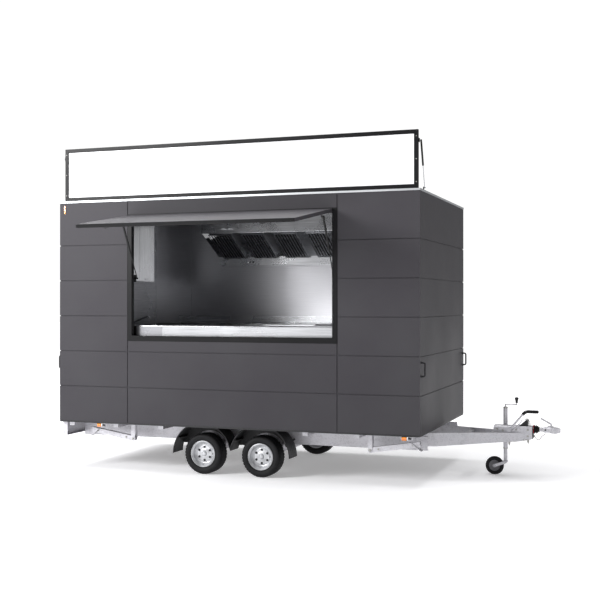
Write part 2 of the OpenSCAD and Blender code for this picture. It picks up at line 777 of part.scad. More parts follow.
// double arch over each pair of wheels, on round stays from the rail
module mudguards() color("#19191a") both_sides() {
    slab_y(guard_y0, guard_y1) difference() {
        guard_outline(guard_r);
        guard_outline(guard_r - guard_t);
        translate([wheels_x[0] - 600, 0]) square([1800, tyre_r]);
    }
    for (x = wheels_x) for (s = [-1, 1]) {
        stay_reach = guard_r - guard_t - stay_r - seat_gap;
        bar_y([x + stay_reach * sin(s * 60), guard_y0 + 20, tyre_r + stay_reach * cos(s * 60)],
              stay_r, rail_in - guard_y0 - 20);
    }
}

module guard_outline(r) intersection() {
    union() for (x = wheels_x) translate([x, tyre_r]) circle(r = r, $fn = 128);
    translate([wheels_x[0] - 600, 0]) square([1800, guard_top - (guard_r - r)]);
}

// ================================================================ chassis and drawbar

// two long channels, open towards the middle
module chassis_rails() color("#b2b3b5") both_sides()
    slab_x(lamp_bar_x1, body_l - 20) difference() {
        translate([rail_in, rail_z0]) square([rail_w, rail_h]);
        translate([rail_in + sheet, rail_z0 + sheet]) square([rail_w, rail_h - 2 * sheet]);
    }

// they lie on the rails and reach the skirts, but stop at the rails over the wheels
module cross_members() color("#b2b3b5") {
    guard_span = [wheels_x[0] - guard_r - 30, wheels_x[1] + guard_r + 30];
    by_rear_legs = steady_pivot_rear - 194;
    by_front_legs = body_l - steady_pivot_front - 146;
    bays = 5;
    bay = (by_front_legs - by_rear_legs) / bays;
    for (x = [90, for (i = [0:bays]) by_rear_legs + i * bay, body_l - 150]) {
        inside = x > guard_span[0] - 60 && x < guard_span[1];
        y = inside ? rail_in : 70;
        block([x, y, rail_z1], [x + 60, body_w - y, floor_z]);
    }
}

// a bent channel at each side, joined by a plate under the overrun device
module drawbar() color("#b2b3b5") {
    difference() {
        both_sides() intersection() {
            translate([body_l + arm_reach, body_mid - arm_nose, 0]) rotate([0, 0, arm_angle])
                arm_channel();
            block([0, rail_in + rail_w, 0], [body_l + arm_reach, body_mid, rail_z1]);
        }
        jockey_hole();
    }
    difference() {
        translate([body_l, body_mid, rail_z1 - 6]) linear_extrude(6)
            polygon([for (x = [case_x0 - 20, nose_x0 - 2]) [x, -arm_half(x) + 2],
                     for (x = [nose_x0 - 2, case_x0 - 20]) [x, arm_half(x) - 2]]);
        jockey_hole();
    }
    // cross tube between the arms, ahead of the front wall
    cross = 260;
    block([body_l + cross, body_mid - arm_half(cross) + 2, rail_z1 - 70],
          [body_l + cross + 40, body_mid + arm_half(cross) - 2, rail_z1 - 20]);
}

// half the width of the drawbar at a distance ahead of the front wall
function arm_half(x) = arm_nose + (arm_reach - x) * arm_slope;

// arm along local -X from its front end, its web at y = 0 and its flanges towards +Y
module arm_channel() {
    l = (arm_reach + arm_back + 2 * arm_flange / arm_slope) / cos(arm_angle);
    foot = arm_reach / cos(arm_angle);
    outer = [[0, rail_z1], [-l, rail_z1], [-l, rail_z0], [-foot, rail_z0],
             [0, rail_z1 - arm_tip_h], [60, rail_z1 - arm_tip_h], [60, rail_z1]];
    inner = [[61, rail_z1 - sheet], [-l - 1, rail_z1 - sheet], [-l - 1, rail_z0 + sheet],
             [-foot, rail_z0 + sheet], [0, rail_z1 - arm_tip_h + sheet],
             [61, rail_z1 - arm_tip_h + sheet]];
    difference() {
        slab_y(0, arm_flange) polygon(outer);
        slab_y(sheet, arm_flange + 1) polygon(inner);
    }
}

module jockey_hole() translate([body_l + jockey_x, body_mid + jockey_y, rail_z0 - 100])
    cylinder(r = jockey_tube_r + 7, h = 400);

// case on the drawbar, its nose between the arms and the clamp of the jockey tube
module overrun_hitch() color("#bcbdbf") translate([body_l, body_mid, 0]) {
    slab_x(case_x0, case_x1) polygon([[-case_half, rail_z1], [case_half, rail_z1],
        [case_half, case_top - 12], [case_half - 12, case_top], [12 - case_half, case_top],
        [-case_half, case_top - 12]]);
    block([nose_x0, -case_half, nose_z0], [nose_x1, case_half, nose_z1]);
    difference() {
        union() {
            bar_z([jockey_x, jockey_y, rail_z1 + 6], jockey_tube_r + 9, 44);
            block([jockey_x - 22, case_half - 1, rail_z1 + 6],
                  [jockey_x + 22, jockey_y, rail_z1 + 50]);
        }
        bar_z([jockey_x, jockey_y, rail_z1], jockey_tube_r, 60);
    }
}

module hitch_bellows() color("#161617") translate([body_l, body_mid, shaft_z])
    rotate([0, 90, 0]) rotate_extrude() {
        folds = 4;
        pitch = (bellows_end - nose_x1) / folds;
        for (i = [0:folds - 1]) polygon([
            [shaft_r + seat_gap, nose_x1 + i * pitch], [34, nose_x1 + i * pitch],
            [46.5 - 2 * i, nose_x1 + (i + 0.5) * pitch - 3],
            [46.5 - 2 * i, nose_x1 + (i + 0.5) * pitch + 3],
            [33, nose_x1 + (i + 1) * pitch], [shaft_r + seat_gap, nose_x1 + (i + 1) * pitch]]);
    }

// draw shaft, pressed head with the ball socket, and its raised handle
module coupling_head() color("#c2c3c5") translate([body_l, body_mid, 0]) {
    bar_x([nose_x1, 0, shaft_z], shaft_r, head_x0 + 30 - nose_x1);
    difference() {
        union() {
            slab_x(head_x0, ball_x) polygon([[-28, shaft_z - 28], [28, shaft_z - 28],
                [34, shaft_z - 12], [34, shaft_z + 14], [22, shaft_z + 29], [-22, shaft_z + 29],
                [-34, shaft_z + 14], [-34, shaft_z - 12]]);
            bar_z([ball_x, 0, shaft_z - 32], nose_l - ball_x - 22, 58);
            slab_y(-30, 30) polygon([[ball_x - 20, shaft_z - 32], [nose_l, shaft_z - 26],
                [nose_l, shaft_z + 12], [nose_l - 10, shaft_z + 18], [ball_x, shaft_z + 27],
                [ball_x - 20, shaft_z + 27]]);
        }
        bar_z([ball_x, 0, shaft_z - 33], socket_r, socket_l + 1);
    }
    // handle: two round lengths, raised and reaching back
    grip = [[head_x0 + 88, shaft_z + 22], [head_x0 + 74, shaft_z + 64],
            [head_x0 - 24, shaft_z + 116]];
    for (i = [0, 1]) rod_between([grip[i].x, 0, grip[i].y], [grip[i + 1].x, 0, grip[i + 1].y], 9);
    for (i = [1, 2]) translate([grip[i].x, 0, grip[i].y]) sphere(r = 10);
}

// round rod between two points of one X-Z plane
module rod_between(p, q, r) translate(p) rotate([0, atan2(q.x - p.x, q.z - p.z), 0])
    cylinder(r = r, h = norm(q - p));

// lever at the serving side of the case, with a bent grip
module handbrake_lever() color("#b9babc") translate([body_l, body_mid - case_half - 10, 0]) {
    path = [[727, rail_z1 + 23], [867, rail_z1 + 191], [908, rail_z1 + 231],
            [1025, rail_z1 + 231]];
    radius = [7, 15.5, 15.5];
    for (i = [0:2]) rod_between([path[i].x, 0, path[i].y], [path[i + 1].x, 0, path[i + 1].y],
                                radius[i]);
    for (i = [2, 3]) translate([path[i].x, 0, path[i].y]) sphere(r = radius[2] + 0.5);
    bar_y([path[0].x, -12, path[0].y], 22, 21.7);
}

module wheel_chock() color("#1a1a1b")
    translate([body_l, body_mid, case_top])
        slab_y(-36, 36) difference() {
            polygon([[828, 0], [925, 0], [925, 58], [914, 69], [900, 64]]);
            translate([925 + 86, 20]) circle(r = 90);
        }

// ================================================================ breakaway cable

cable_r = 2.5;
cable_sides = 8;
// from the nose of the overrun device down and up to the coupling head, off the body's front
CABLE = [[972, -36, 470], [979, -36, 470], [987, -36, 466], [996, -37, 456], [1003, -38, 442],
         [1013, -38, 426], [1020, -38, 420], [1028, -38, 417], [1036, -38, 417], [1044, -37, 420],
         [1056, -35, 431], [1065, -32, 446], [1076, -29, 459], [1090, -26, 468], [1101, -24, 476],
         [1106, -22, 489]];

function spline(p, steps) = [
    for (i = [0:len(p) - 2]) for (k = [0:steps - 1])
        let (t = k / steps, a = p[max(i - 1, 0)], b = p[i], c = p[i + 1],
             d = p[min(i + 2, len(p) - 1)])
        ((2 * b) + (c - a) * t + (2 * a - 5 * b + 4 * c - d) * t * t
         + (3 * b - a - 3 * c + d) * t * t * t) / 2,
    p[len(p) - 1]];

function unit(v) = v / norm(v);

module tube_along(p, r, sides) {
    n = len(p);
    tangent = [for (i = [0:n - 1]) unit(p[min(i + 1, n - 1)] - p[max(i - 1, 0)])];
    rings = [for (i = [0:n - 1])
        let (u = unit(cross(tangent[i], [0, 1, 0])), v = cross(u, tangent[i]))
        for (k = [0:sides - 1]) p[i] + r * (u * cos(360 * k / sides) + v * sin(360 * k / sides))];
    walls = [for (i = [0:n - 2]) for (k = [0:sides - 1])
        let (a = i * sides + k, b = i * sides + (k + 1) % sides) [a, a + sides, b + sides, b]];
    polyhedron(rings, concat(walls, [[for (k = [0:sides - 1]) k],
        [for (k = [sides - 1:-1:0]) (n - 1) * sides + k]]));
}

module breakaway_cable() color("#8e8f92")
    translate([body_l, body_mid, rail_z1 - 486])
        tube_along(spline(CABLE, 3), cable_r, cable_sides);

// ================================================================ jockey wheel

module jockey_place() translate([body_l + jockey_x, body_mid + jockey_y, 0]) children();

// clamped tube with the crank and its knob
module jockey_outer_tube() color("#b9babc") jockey_place() {
    difference() {
        bar_z([0, 0, jockey_low], jockey_tube_r, jockey_top - jockey_low);
        bar_z([0, 0, jockey_low - 1], jockey_bore_r, jockey_top - jockey_low - 9);
    }
    bar_z([0, 0, jockey_top - 1], 7, 34);
    translate([0, 0, jockey_top + 26]) sphere(r = 8);
    bar_x([0, 0, jockey_top + 26], 6, crank_l);
    translate([crank_l, 0, jockey_top + 26]) sphere(r = 7);
    bar_z([crank_l, 0, jockey_top + 26], 5, 24);
    bar_z([crank_l, 0, jockey_top + 46], 12, 42);
    translate([crank_l, 0, jockey_top + 88]) sphere(r = 19);
}

module jockey_leg() color("#c0c1c3") jockey_place() {
    bar_z([0, 0, jockey_foot], jockey_leg_r, jockey_leg_l);
    bar_z([0, 0, jockey_foot - 4], 14, 5);
}

// swivelling fork: a head under the leg and two cheeks down to the axle
module jockey_fork() color("#b2b3b5") jockey_place() {
    cheek = jockey_w / 2 + 6;
    head_z = jockey_foot - 5;
    difference() {
        union() {
            bar_z([0, 0, head_z - 10], 24, 14.7);
            block([-12, -cheek - 4, head_z - 10], [22, cheek + 4, head_z - 2]);
        }
        bar_z([0, 0, jockey_foot - 5], 14.3, 10);
    }
    for (s = [-1, 1]) slab_y(s * (cheek + 2) - 2, s * (cheek + 2) + 2) {
        rise = head_z - 12 - jockey_r;
        translate([-jockey_trail, jockey_r]) circle(r = 16);
        translate([-jockey_trail, jockey_r]) rotate(atan2(rise, jockey_trail))
            translate([0, -15]) square([norm([jockey_trail, rise]) + 8, 30]);
    }
    bar_y([-jockey_trail, -cheek - 8, jockey_r], 8, 2 * cheek + 16);
}

module jockey_wheel() color("#1d1d1e") jockey_place()
    translate([-jockey_trail, 0, jockey_r]) rotate([90, 0, 0]) rotate_extrude($fn = 96) {
        half = jockey_w / 2;
        polygon([[8 + pin_gap, -half], [20, -half], [24, 4 - half], [60, 6 - half],
                 [66, 1 - half], [78, -half], [90, 4 - half], [97, 11 - half],
                 [jockey_r, 19 - half], [jockey_r, half - 19], [97, half - 11],
                 [90, half - 4], [78, half], [66, half - 1], [60, half - 6],
                 [24, half - 4], [20, half], [8 + pin_gap, half]]);
    }

// ================================================================ steady legs

// a leg's own plane: pivot at the origin, the leg runs along -X; the rear one isn't mirrored
module steady_place(s) on_side(s[2])
    translate([s[1] < 0 ? steady_pivot_rear : body_l - steady_pivot_front, steady_y,
               steady_pivot_z])
        mirror([s[1] < 0 ? 0 : 1, 0, 0]) children();

module steady_leg(s) color("#b9babc") steady_place(s) rotate([0, steady_rise, 0]) {
    half = steady_w / 2;
    difference() {
        union() {
            block([-steady_l - 16, -half, -steady_h / 2], [0, half, steady_h / 2]);
            bar_y([0, -half, 0], steady_h / 2, steady_w);
        }
        block([-steady_l - 30, 4 - half, -steady_h], [-40, half - 4, steady_h / 2 - 4]);
        bar_y([0, -half - 1, 0], steady_pin_r + pin_gap, steady_w + 2);
    }
    // foot plate, level with the ground when the leg is down
    translate([-steady_l, 0, 0]) rotate([0, -steady_down - steady_rise, 0])
        steady_foot();
}

module steady_foot() {
    half = steady_w / 2;
    slab_y(4 - half, half - 4)
        polygon([[-16, 12], [16, 12], [30, -steady_pad_drop], [-30, -steady_pad_drop]]);
    block([-steady_pad_l / 2, -45, -steady_pad_drop - steady_pad_t],
          [steady_pad_l / 2, 45, -steady_pad_drop + 1]);
}

// angle of the lowered leg below level, with its foot just over the ground
steady_down = asin((steady_pivot_z - steady_pad_drop - steady_pad_t - 4) / steady_l);
steady_swing = steady_down + steady_rise;

// cheeks that hang from the floor and carry the pins
module steady_brackets() color("#a9aaac") for (s = STEADIES) steady_place(s) {
    top = floor_z - steady_pivot_z;
    for (side = [-1, 1]) {
        y = side * (steady_w / 2 + 3);
        slab_y(y - 2.5, y + 2.5) {
            circle(r = 24);
            translate([-24, 0]) square([48, top - 5]);
        }
    }
    block([-60, -steady_w / 2 - 20, top - 6], [60, steady_w / 2 + 20, top]);
    bar_y([0, -steady_w / 2 - 8, 0], steady_pin_r, steady_w + 16);
}

// ================================================================ nodes

in_frame() {
    if (shows("chassis_rails")) chassis_rails();
    if (shows("cross_members")) cross_members();
    if (shows("drawbar")) drawbar();
    if (shows("overrun_hitch")) overrun_hitch();
    if (shows("coupling_head")) coupling_head();
    if (shows("hitch_bellows")) hitch_bellows();
    if (shows("handbrake_lever")) handbrake_lever();
    if (shows("jockey_outer_tube")) jockey_outer_tube();
    if (shows("axles")) axles();
    if (shows("mudguards")) mudguards();
    if (shows("floor_panel")) floor_panel();
    if (shows("roof_panel")) roof_panel();
    if (shows("serving_wall")) serving_wall();
    if (shows("back_wall")) back_wall();
    if (shows("rear_wall")) end_wall(0);
    if (shows("front_wall")) end_wall(body_l - wall_t);
    if (shows("hatch_frame")) hatch_frame();
    if (shows("back_worktop")) back_worktop();
    if (shows("serving_counter")) serving_counter();
    if (shows("sink_unit")) sink_unit();
    if (shows("faucet")) faucet();
    if (shows("extractor_hood")) extractor_hood();
    if (shows("wall_cabinet")) wall_cabinet();
    if (shows("rear_lamp_bar")) rear_lamp_bar();
    if (shows("rear_lamps")) rear_lamps();
    if (shows("marker_lamps")) marker_lamps();
    if (shows("grab_handles")) grab_handles();
    if (shows("steady_brackets")) steady_brackets();
    if (shows("sign_hinges")) sign_hinges();
    if (shows("door_hinges")) door_hinges();
    if (shows("wheel_chock")) wheel_chock();
    if (shows("breakaway_cable")) breakaway_cable();
    if (shows("serving_hatch")) serving_hatch();
    if (shows("sign_frame")) sign_frame();
    if (shows("sign_panel")) sign_panel();
    if (shows("entrance_door")) entrance_door();
    if (shows("jockey_leg")) jockey_leg();
    if (shows("jockey_fork")) jockey_fork();
    if (shows("jockey_wheel")) jockey_wheel();
    for (w = WHEELS) {
        if (shows(str("tyre_", w[0]))) tyre(w);
        if (shows(str("rim_", w[0]))) rim(w);
    }
    for (s = STEADIES) if (shows(str("steady_leg_", s[0]))) steady_leg(s);
    for (e = ENDS) {
        if (shows(str("hatch_strut_tube_", e[0]))) hatch_strut_tube(e[1]);
        if (shows(str("hatch_strut_rod_", e[0]))) hatch_strut_rod(e[1]);
        if (shows(str("sign_strut_tube_", e[0]))) sign_strut_tube(e[1]);
        if (shows(str("sign_strut_rod_", e[0]))) sign_strut_rod(e[1]);
    }
}
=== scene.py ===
"""Catering trailer: camera, light, finishes and the detail that goes round its frame."""

import math

import bpy
from mathutils import Matrix, Vector


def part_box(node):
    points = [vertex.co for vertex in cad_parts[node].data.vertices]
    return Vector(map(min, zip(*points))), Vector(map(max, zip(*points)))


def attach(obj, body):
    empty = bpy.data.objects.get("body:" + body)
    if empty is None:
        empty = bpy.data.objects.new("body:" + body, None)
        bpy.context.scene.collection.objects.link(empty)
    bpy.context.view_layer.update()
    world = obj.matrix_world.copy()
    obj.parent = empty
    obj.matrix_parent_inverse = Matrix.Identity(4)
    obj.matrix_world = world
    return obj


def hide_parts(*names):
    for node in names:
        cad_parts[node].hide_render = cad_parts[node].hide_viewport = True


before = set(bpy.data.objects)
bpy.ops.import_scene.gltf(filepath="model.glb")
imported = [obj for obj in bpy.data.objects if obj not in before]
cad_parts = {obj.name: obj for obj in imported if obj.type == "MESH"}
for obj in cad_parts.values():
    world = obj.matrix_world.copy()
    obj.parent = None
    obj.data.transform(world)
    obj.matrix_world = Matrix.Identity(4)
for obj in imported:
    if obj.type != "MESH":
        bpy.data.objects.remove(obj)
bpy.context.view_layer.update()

# ---------------------------------------------------------------- places taken from the frame

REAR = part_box("rear_wall")[0].x
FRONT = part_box("front_wall")[1].x
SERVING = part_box("serving_wall")[0].y
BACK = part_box("back_wall")[1].y
MIDDLE = (SERVING + BACK) / 2
UNDERSIDE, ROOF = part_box("serving_wall")[0].z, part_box("serving_wall")[1].z
LENGTH, WIDTH = (FRONT - REAR) * 1000, (BACK - SERVING) * 1000
FLOOR = UNDERSIDE * 1000
CEILING = ROOF * 1000 - 60
WALL = 50  # thickness of the panels
OPENING_X = (922, 3278)
DOOR_X = (3395, 4095)
BASIN_X, BASIN_Y = (736, 1136), (200, 540)
HATCH_LENGTH = 1140
WORKTOP_START, WORKTOP_END, COUNTER_END = 401, 3334, 3317
COUNTER_JOINT = 1255.5  # where the two sheets of the counter's top meet
STEADY_REAR, STEADY_FRONT, STEADY_DROP = 850, LENGTH - 570, 178
HATCH_SWING = math.radians(80.7)
SHAFT = (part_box("hitch_bellows")[0].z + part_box("hitch_bellows")[1].z) / 2 * 1000
WHEELS = ("rear_right", "front_right", "rear_left", "front_left")


def spot(x, y, z):
    """A point in millimetres from the rear corner of the serving side, on the ground."""
    return Vector((REAR + x / 1000, SERVING + y / 1000, z / 1000))


def limits(node):
    """The lowest and highest corner of a frame piece, in the same millimetres as spot."""
    return [((c.x - REAR) * 1000, (c.y - SERVING) * 1000, c.z * 1000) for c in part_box(node)]


def ahead(x, y, z):
    """A point in millimetres off the middle of the front wall, on the ground."""
    return Vector((FRONT + x / 1000, MIDDLE + y / 1000, z / 1000))


# ---------------------------------------------------------------- camera and light

CAMERA_OFF_CORNER = Vector((2.385, -10.181, 1.873))
CAMERA_TURN = 19.81
CAMERA_TILT = 90.22
CAMERA_LENS = 61.97


def make_camera():
    """The camera, placed from the front corner of the serving side."""
    bpy.ops.object.camera_add(
        location=Vector((FRONT, SERVING, 0)) + CAMERA_OFF_CORNER,
        rotation=(math.radians(CAMERA_TILT), 0, math.radians(CAMERA_TURN)),
    )
    camera = bpy.context.object
    camera.data.lens = CAMERA_LENS
    camera.data.clip_end = 200
    bpy.context.scene.camera = camera


def softbox(place, aim, width, height, power):
    """A rectangular studio light of a size in metres and a power in watts."""
    direction = Vector(aim) - Vector(place)
    turn = direction.to_track_quat("-Z", "Y").to_euler()
    bpy.ops.object.light_add(type="AREA", location=place, rotation=turn)
    bpy.context.object.visible_camera = False
    light = bpy.context.object.data
    light.shape = "RECTANGLE"
    light.size, light.size_y = width, height
    light.energy = power


make_camera()

# ---------------------------------------------------------------- modelling

SMOOTH_BELOW = math.radians(32)


def take(*pieces):
    """Selects these pieces and nothing else."""
    bpy.ops.object.select_all(action="DESELECT")
    for piece in pieces:
        piece.select_set(True)
    bpy.context.view_layer.objects.active = pieces[0]
    return pieces[0]


def settle(piece):
    """Puts a piece's place, turn and scale into its mesh."""
    take(piece)
    bpy.ops.object.transform_apply(location=True, rotation=True, scale=True)
    return piece


def soften(piece, edge, steps=2, angle=35):
    """Rounds the sharp edges of a piece."""
    bevel = take(piece).modifiers.new("edges", "BEVEL")
    bevel.width = edge / 1000
    bevel.segments = steps
    bevel.limit_method = "ANGLE"
    bevel.angle_limit = math.radians(angle)
    bpy.ops.object.modifier_apply(modifier=bevel.name)
    return piece


def block(low, high, edge=0.0, steps=2):
    """A block between two opposite corners, its edges rounded."""
    bpy.ops.object.select_all(action="DESELECT")
    bpy.ops.mesh.primitive_cube_add(size=1, location=(low + high) / 2)
    piece = bpy.context.object
    piece.scale = high - low
    settle(piece)
    return soften(piece, edge, steps) if edge else piece


def slab(low, high, edge=0.0, steps=2):
    """A block between two corners in millimetres from the same corner as spot."""
    return block(spot(*low), spot(*high), edge, steps)


def rod(start, end, radius, sides=24, edge=0.0, nose=None):
    """A round or many-sided bar between two points, which narrows if nose is given."""
    run = end - start
    bpy.ops.object.select_all(action="DESELECT")
    bpy.ops.mesh.primitive_cone_add(
        vertices=sides,
        radius1=radius / 1000,
        radius2=(radius if nose is None else nose) / 1000,
        depth=run.length,
        location=(start + end) / 2,
        rotation=run.to_track_quat("Z", "Y").to_euler(),
    )
    piece = settle(bpy.context.object)
    return soften(piece, edge, 2) if edge else piece


def turned(profile, origin, axis, sides=64):
    """A ring drawn out along a closed profile of (radius, distance along the axis), in mm."""
    bpy.ops.object.select_all(action="DESELECT")
    radius, at = profile[0]
    bpy.ops.mesh.primitive_circle_add(vertices=sides, radius=radius / 1000, location=(0, 0, at / 1000))
    piece = settle(bpy.context.object)
    bpy.ops.object.mode_set(mode="EDIT")
    bpy.ops.mesh.select_mode(type="VERT")
    bpy.ops.mesh.select_all(action="SELECT")
    for (r0, z0), (r1, z1) in zip(profile, [*profile[1:], profile[0]]):
        bpy.ops.mesh.extrude_region_move(TRANSFORM_OT_translate={"value": (0, 0, (z1 - z0) / 1000)})
        bpy.ops.transform.resize(value=(r1 / r0, r1 / r0, 1), center_override=(0, 0, z1 / 1000))
    bpy.ops.mesh.select_all(action="SELECT")
    bpy.ops.mesh.remove_doubles(threshold=0.0003)
    bpy.ops.mesh.normals_make_consistent(inside=False)
    bpy.ops.object.mode_set(mode="OBJECT")
    piece.rotation_euler = Vector(axis).to_track_quat("Z", "Y").to_euler()
    piece.location = origin
    return settle(piece)


def rounded(points, bend, steps=6):
    """A line of points with each corner turned into a short curve."""
    line = [points[0]]
    for before, corner, after in zip(points, points[1:], points[2:]):
        reach = min(bend / 1000, (corner - before).length / 2, (after - corner).length / 2)
        start = corner + (before - corner).normalized() * reach
        end = corner + (after - corner).normalized() * reach
        for i in range(steps + 1):
            t = i / steps
            line.append(start.lerp(corner, t).lerp(corner.lerp(end, t), t))
    return [*line, points[-1]]


def wire(points, radius, bend=0.0, sides=3):
    """A round bar along points, as a filled mesh."""
    bpy.ops.object.select_all(action="DESELECT")
    bpy.ops.curve.primitive_bezier_curve_add(location=(0, 0, 0))
    piece = bpy.context.object
    curve = piece.data
    curve.splines.clear()
    line = rounded(points, bend) if bend else points
    spline = curve.splines.new("POLY")
    spline.points.add(len(line) - 1)
    for point, place in zip(spline.points, line):
        point.co = (*place, 1)
    curve.bevel_depth = radius / 1000
    curve.bevel_resolution = sides
    curve.use_fill_caps = True
    bpy.ops.object.convert(target="MESH")
    return settle(bpy.context.object)


def join(pieces):
    """One piece from several."""
    take(*pieces)
    if len(pieces) > 1:
        bpy.ops.object.join()
    return bpy.context.view_layer.objects.active


def copied(piece, move=(0, 0, 0), turn=0.0, axis="Z", about=(0, 0, 0)):
    """A copy with its own mesh, turned by degrees round an axis through a point, then moved."""
    take(piece)
    bpy.ops.object.duplicate(linked=False)
    new = bpy.context.object
    spin = Matrix.Rotation(math.radians(turn), 4, axis)
    about = Matrix.Translation(Vector(about))
    new.matrix_world = Matrix.Translation(Vector(move)) @ about @ spin @ about.inverted()
    return settle(new)


def flipped(piece, axis="Y", about=None):
    """A mirror image across the middle of the body, or across a place given in metres."""
    take(piece)
    bpy.ops.object.duplicate(linked=False)
    new = bpy.context.object
    index = "XYZ".index(axis)
    new.scale[index] = -1
    new.location[index] = 2 * (MIDDLE if about is None else about)
    return straighten(settle(new))


def both_sides(*pieces):
    """These pieces and their mirror image on the other side, as one."""
    near = join(pieces)
    return join([near, flipped(near)])


def straighten(piece):
    """Turns every face of a piece outwards."""
    take(piece)
    bpy.ops.object.mode_set(mode="EDIT")
    bpy.ops.mesh.select_all(action="SELECT")
    bpy.ops.mesh.normals_make_consistent(inside=False)
    bpy.ops.object.mode_set(mode="OBJECT")
    return piece


def press_in(piece, wanted, depth):
    """Sinks the faces that pass the test, each group as one recess."""
    take(piece)
    bpy.ops.object.mode_set(mode="EDIT")
    bpy.ops.mesh.select_mode(type="FACE")
    bpy.ops.mesh.select_all(action="DESELECT")
    bpy.ops.object.mode_set(mode="OBJECT")
    for face in piece.data.polygons:
        face.select = wanted(face.center)
    bpy.ops.object.mode_set(mode="EDIT")
    bpy.ops.mesh.extrude_region_shrink_fatten(TRANSFORM_OT_shrink_fatten={"value": -depth / 1000})
    bpy.ops.object.mode_set(mode="OBJECT")
    return piece


def hex_bolt(place, axis, size=10.0, height=7.0):
    """A hexagon head on its washer, standing on a surface."""
    axis = Vector(axis).normalized()
    washer = rod(place, place + axis * 0.002, size * 1.25, 20)
    head = rod(place + axis * 0.0015, place + axis * (0.002 + height / 1000), size, 6, edge=0.8)
    return join([head, washer])


def fit(piece, name, finish, body="trailer"):
    """Names a piece, gives it its finish and lets it ride on its body."""
    take(piece)
    bpy.ops.object.shade_smooth_by_angle(angle=SMOOTH_BELOW)
    flat = piece.modifiers.new("flat faces", "WEIGHTED_NORMAL")
    flat.keep_sharp = True
    bpy.ops.object.modifier_apply(modifier=flat.name)
    piece.name = piece.data.name = name
    if finish:
        dress(piece, finish)
    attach(piece, body)
    return piece


def dress(piece, finish):
    """Gives a piece its finish before it is joined to others."""
    piece.data.materials.clear()
    piece.data.materials.append(finish)
    return piece


# ---------------------------------------------------------------- finishes


def linear(hex_colour):
    """An sRGB hex colour as linear red, green, blue and alpha."""
    parts = [int(hex_colour[i : i + 2], 16) / 255 for i in (1, 3, 5)]
    return (*[c / 12.92 if c <= 0.04045 else ((c + 0.055) / 1.055) ** 2.4 for c in parts], 1)


def add(tree, kind, sockets=None, **settings):
    """A node with its settings, and a value or a link for each socket that is named."""
    node = tree.nodes.new(kind)
    for name, value in settings.items():
        setattr(node, name, value)
    for name, value in (sockets or {}).items():
        if isinstance(value, bpy.types.NodeSocket):
            tree.links.new(value, node.inputs[name])
        else:
            node.inputs[name].default_value = value
    return node


def begin(name, metallic, roughness, **constants):
    """A new material: its tree, its shader and the place on the piece, in metres."""
    material = bpy.data.materials.new(name)
    material.use_nodes = True
    tree = material.node_tree
    shader = tree.nodes["Principled BSDF"]
    shader.inputs["Metallic"].default_value = metallic
    shader.inputs["Roughness"].default_value = roughness
    for key, value in constants.items():
        shader.inputs[key.replace("_", " ")].default_value = value
    place = add(tree, "ShaderNodeTexCoord").outputs["Object"]
    return material, tree, shader, place


def shade(tree, shader, amount, dark, light, low=0.3, high=0.7):
    """Colour that drifts between two shades with a pattern."""
    ramp = add(tree, "ShaderNodeValToRGB", {"Fac": amount})
    ramp.color_ramp.elements[0].position = low
    ramp.color_ramp.elements[0].color = linear(dark)
    ramp.color_ramp.elements[1].position = high
    ramp.color_ramp.elements[1].color = linear(light)
    tree.links.new(ramp.outputs["Color"], shader.inputs["Base Color"])


def polish(tree, shader, amount, smooth, rough):
    """Roughness that drifts between two values with a pattern."""
    sockets = {"Value": amount, "From Min": 0.3, "From Max": 0.7, "To Min": smooth, "To Max": rough}
    node = add(tree, "ShaderNodeMapRange", sockets)
    tree.links.new(node.outputs["Result"], shader.inputs["Roughness"])


def relief(tree, shader, height, depth_mm, strength=1.0):
    """Bump of a depth in millimetres."""
    sockets = {"Height": height, "Distance": depth_mm / 1000, "Strength": strength}
    node = add(tree, "ShaderNodeBump", sockets)
    tree.links.new(node.outputs["Normal"], shader.inputs["Normal"])


def per_mm(size):
    """The scale of a pattern whose features are this many millimetres wide."""
    return 1000 / size


def powder_coat(name, dark, light, rough, gloss=0.25):
    """Baked polyester powder on aluminium: satin, with orange peel and slow drifts of gloss."""
    material, tree, shader, place = begin(name, 0.0, rough, Specular_IOR_Level=gloss)
    cloud = add(tree, "ShaderNodeTexNoise", {"Vector": place, "Scale": 1.3, "Detail": 3.0})
    shade(tree, shader, cloud.outputs["Fac"], dark, light)
    polish(tree, shader, cloud.outputs["Fac"], rough - 0.05, rough + 0.06)
    # the real peel is 1 to 2 mm wide; 5 mm is the finest that shows
    peel = add(tree, "ShaderNodeTexNoise", {"Vector": place, "Scale": per_mm(5), "Detail": 2.0})
    relief(tree, shader, peel.outputs["Fac"], 0.08, 0.35)
    return material


def hot_dip_zinc(name, dark="#b3b2b7", light="#c6c5ca"):
    """Hot-dip galvanised steel: crystals 12 mm across, each a shade of grey, on a drained coat."""
    material, tree, shader, place = begin(name, 0.5, 0.46)
    crystal = add(tree, "ShaderNodeTexVoronoi", {"Vector": place, "Scale": per_mm(12)})
    tone = add(tree, "ShaderNodeSeparateColor", {"Color": crystal.outputs["Color"]})
    drain = add(tree, "ShaderNodeTexNoise", {"Vector": place, "Scale": per_mm(90), "Detail": 4.0})
    both = add(tree, "ShaderNodeMath", {0: tone.outputs["Red"], 1: drain.outputs["Fac"]}, operation="ADD")
    shade(tree, shader, both.outputs["Value"], dark, light, 0.35, 1.0)
    polish(tree, shader, tone.outputs["Green"], 0.42, 0.52)
    relief(tree, shader, drain.outputs["Fac"], 0.6, 0.25)
    return material


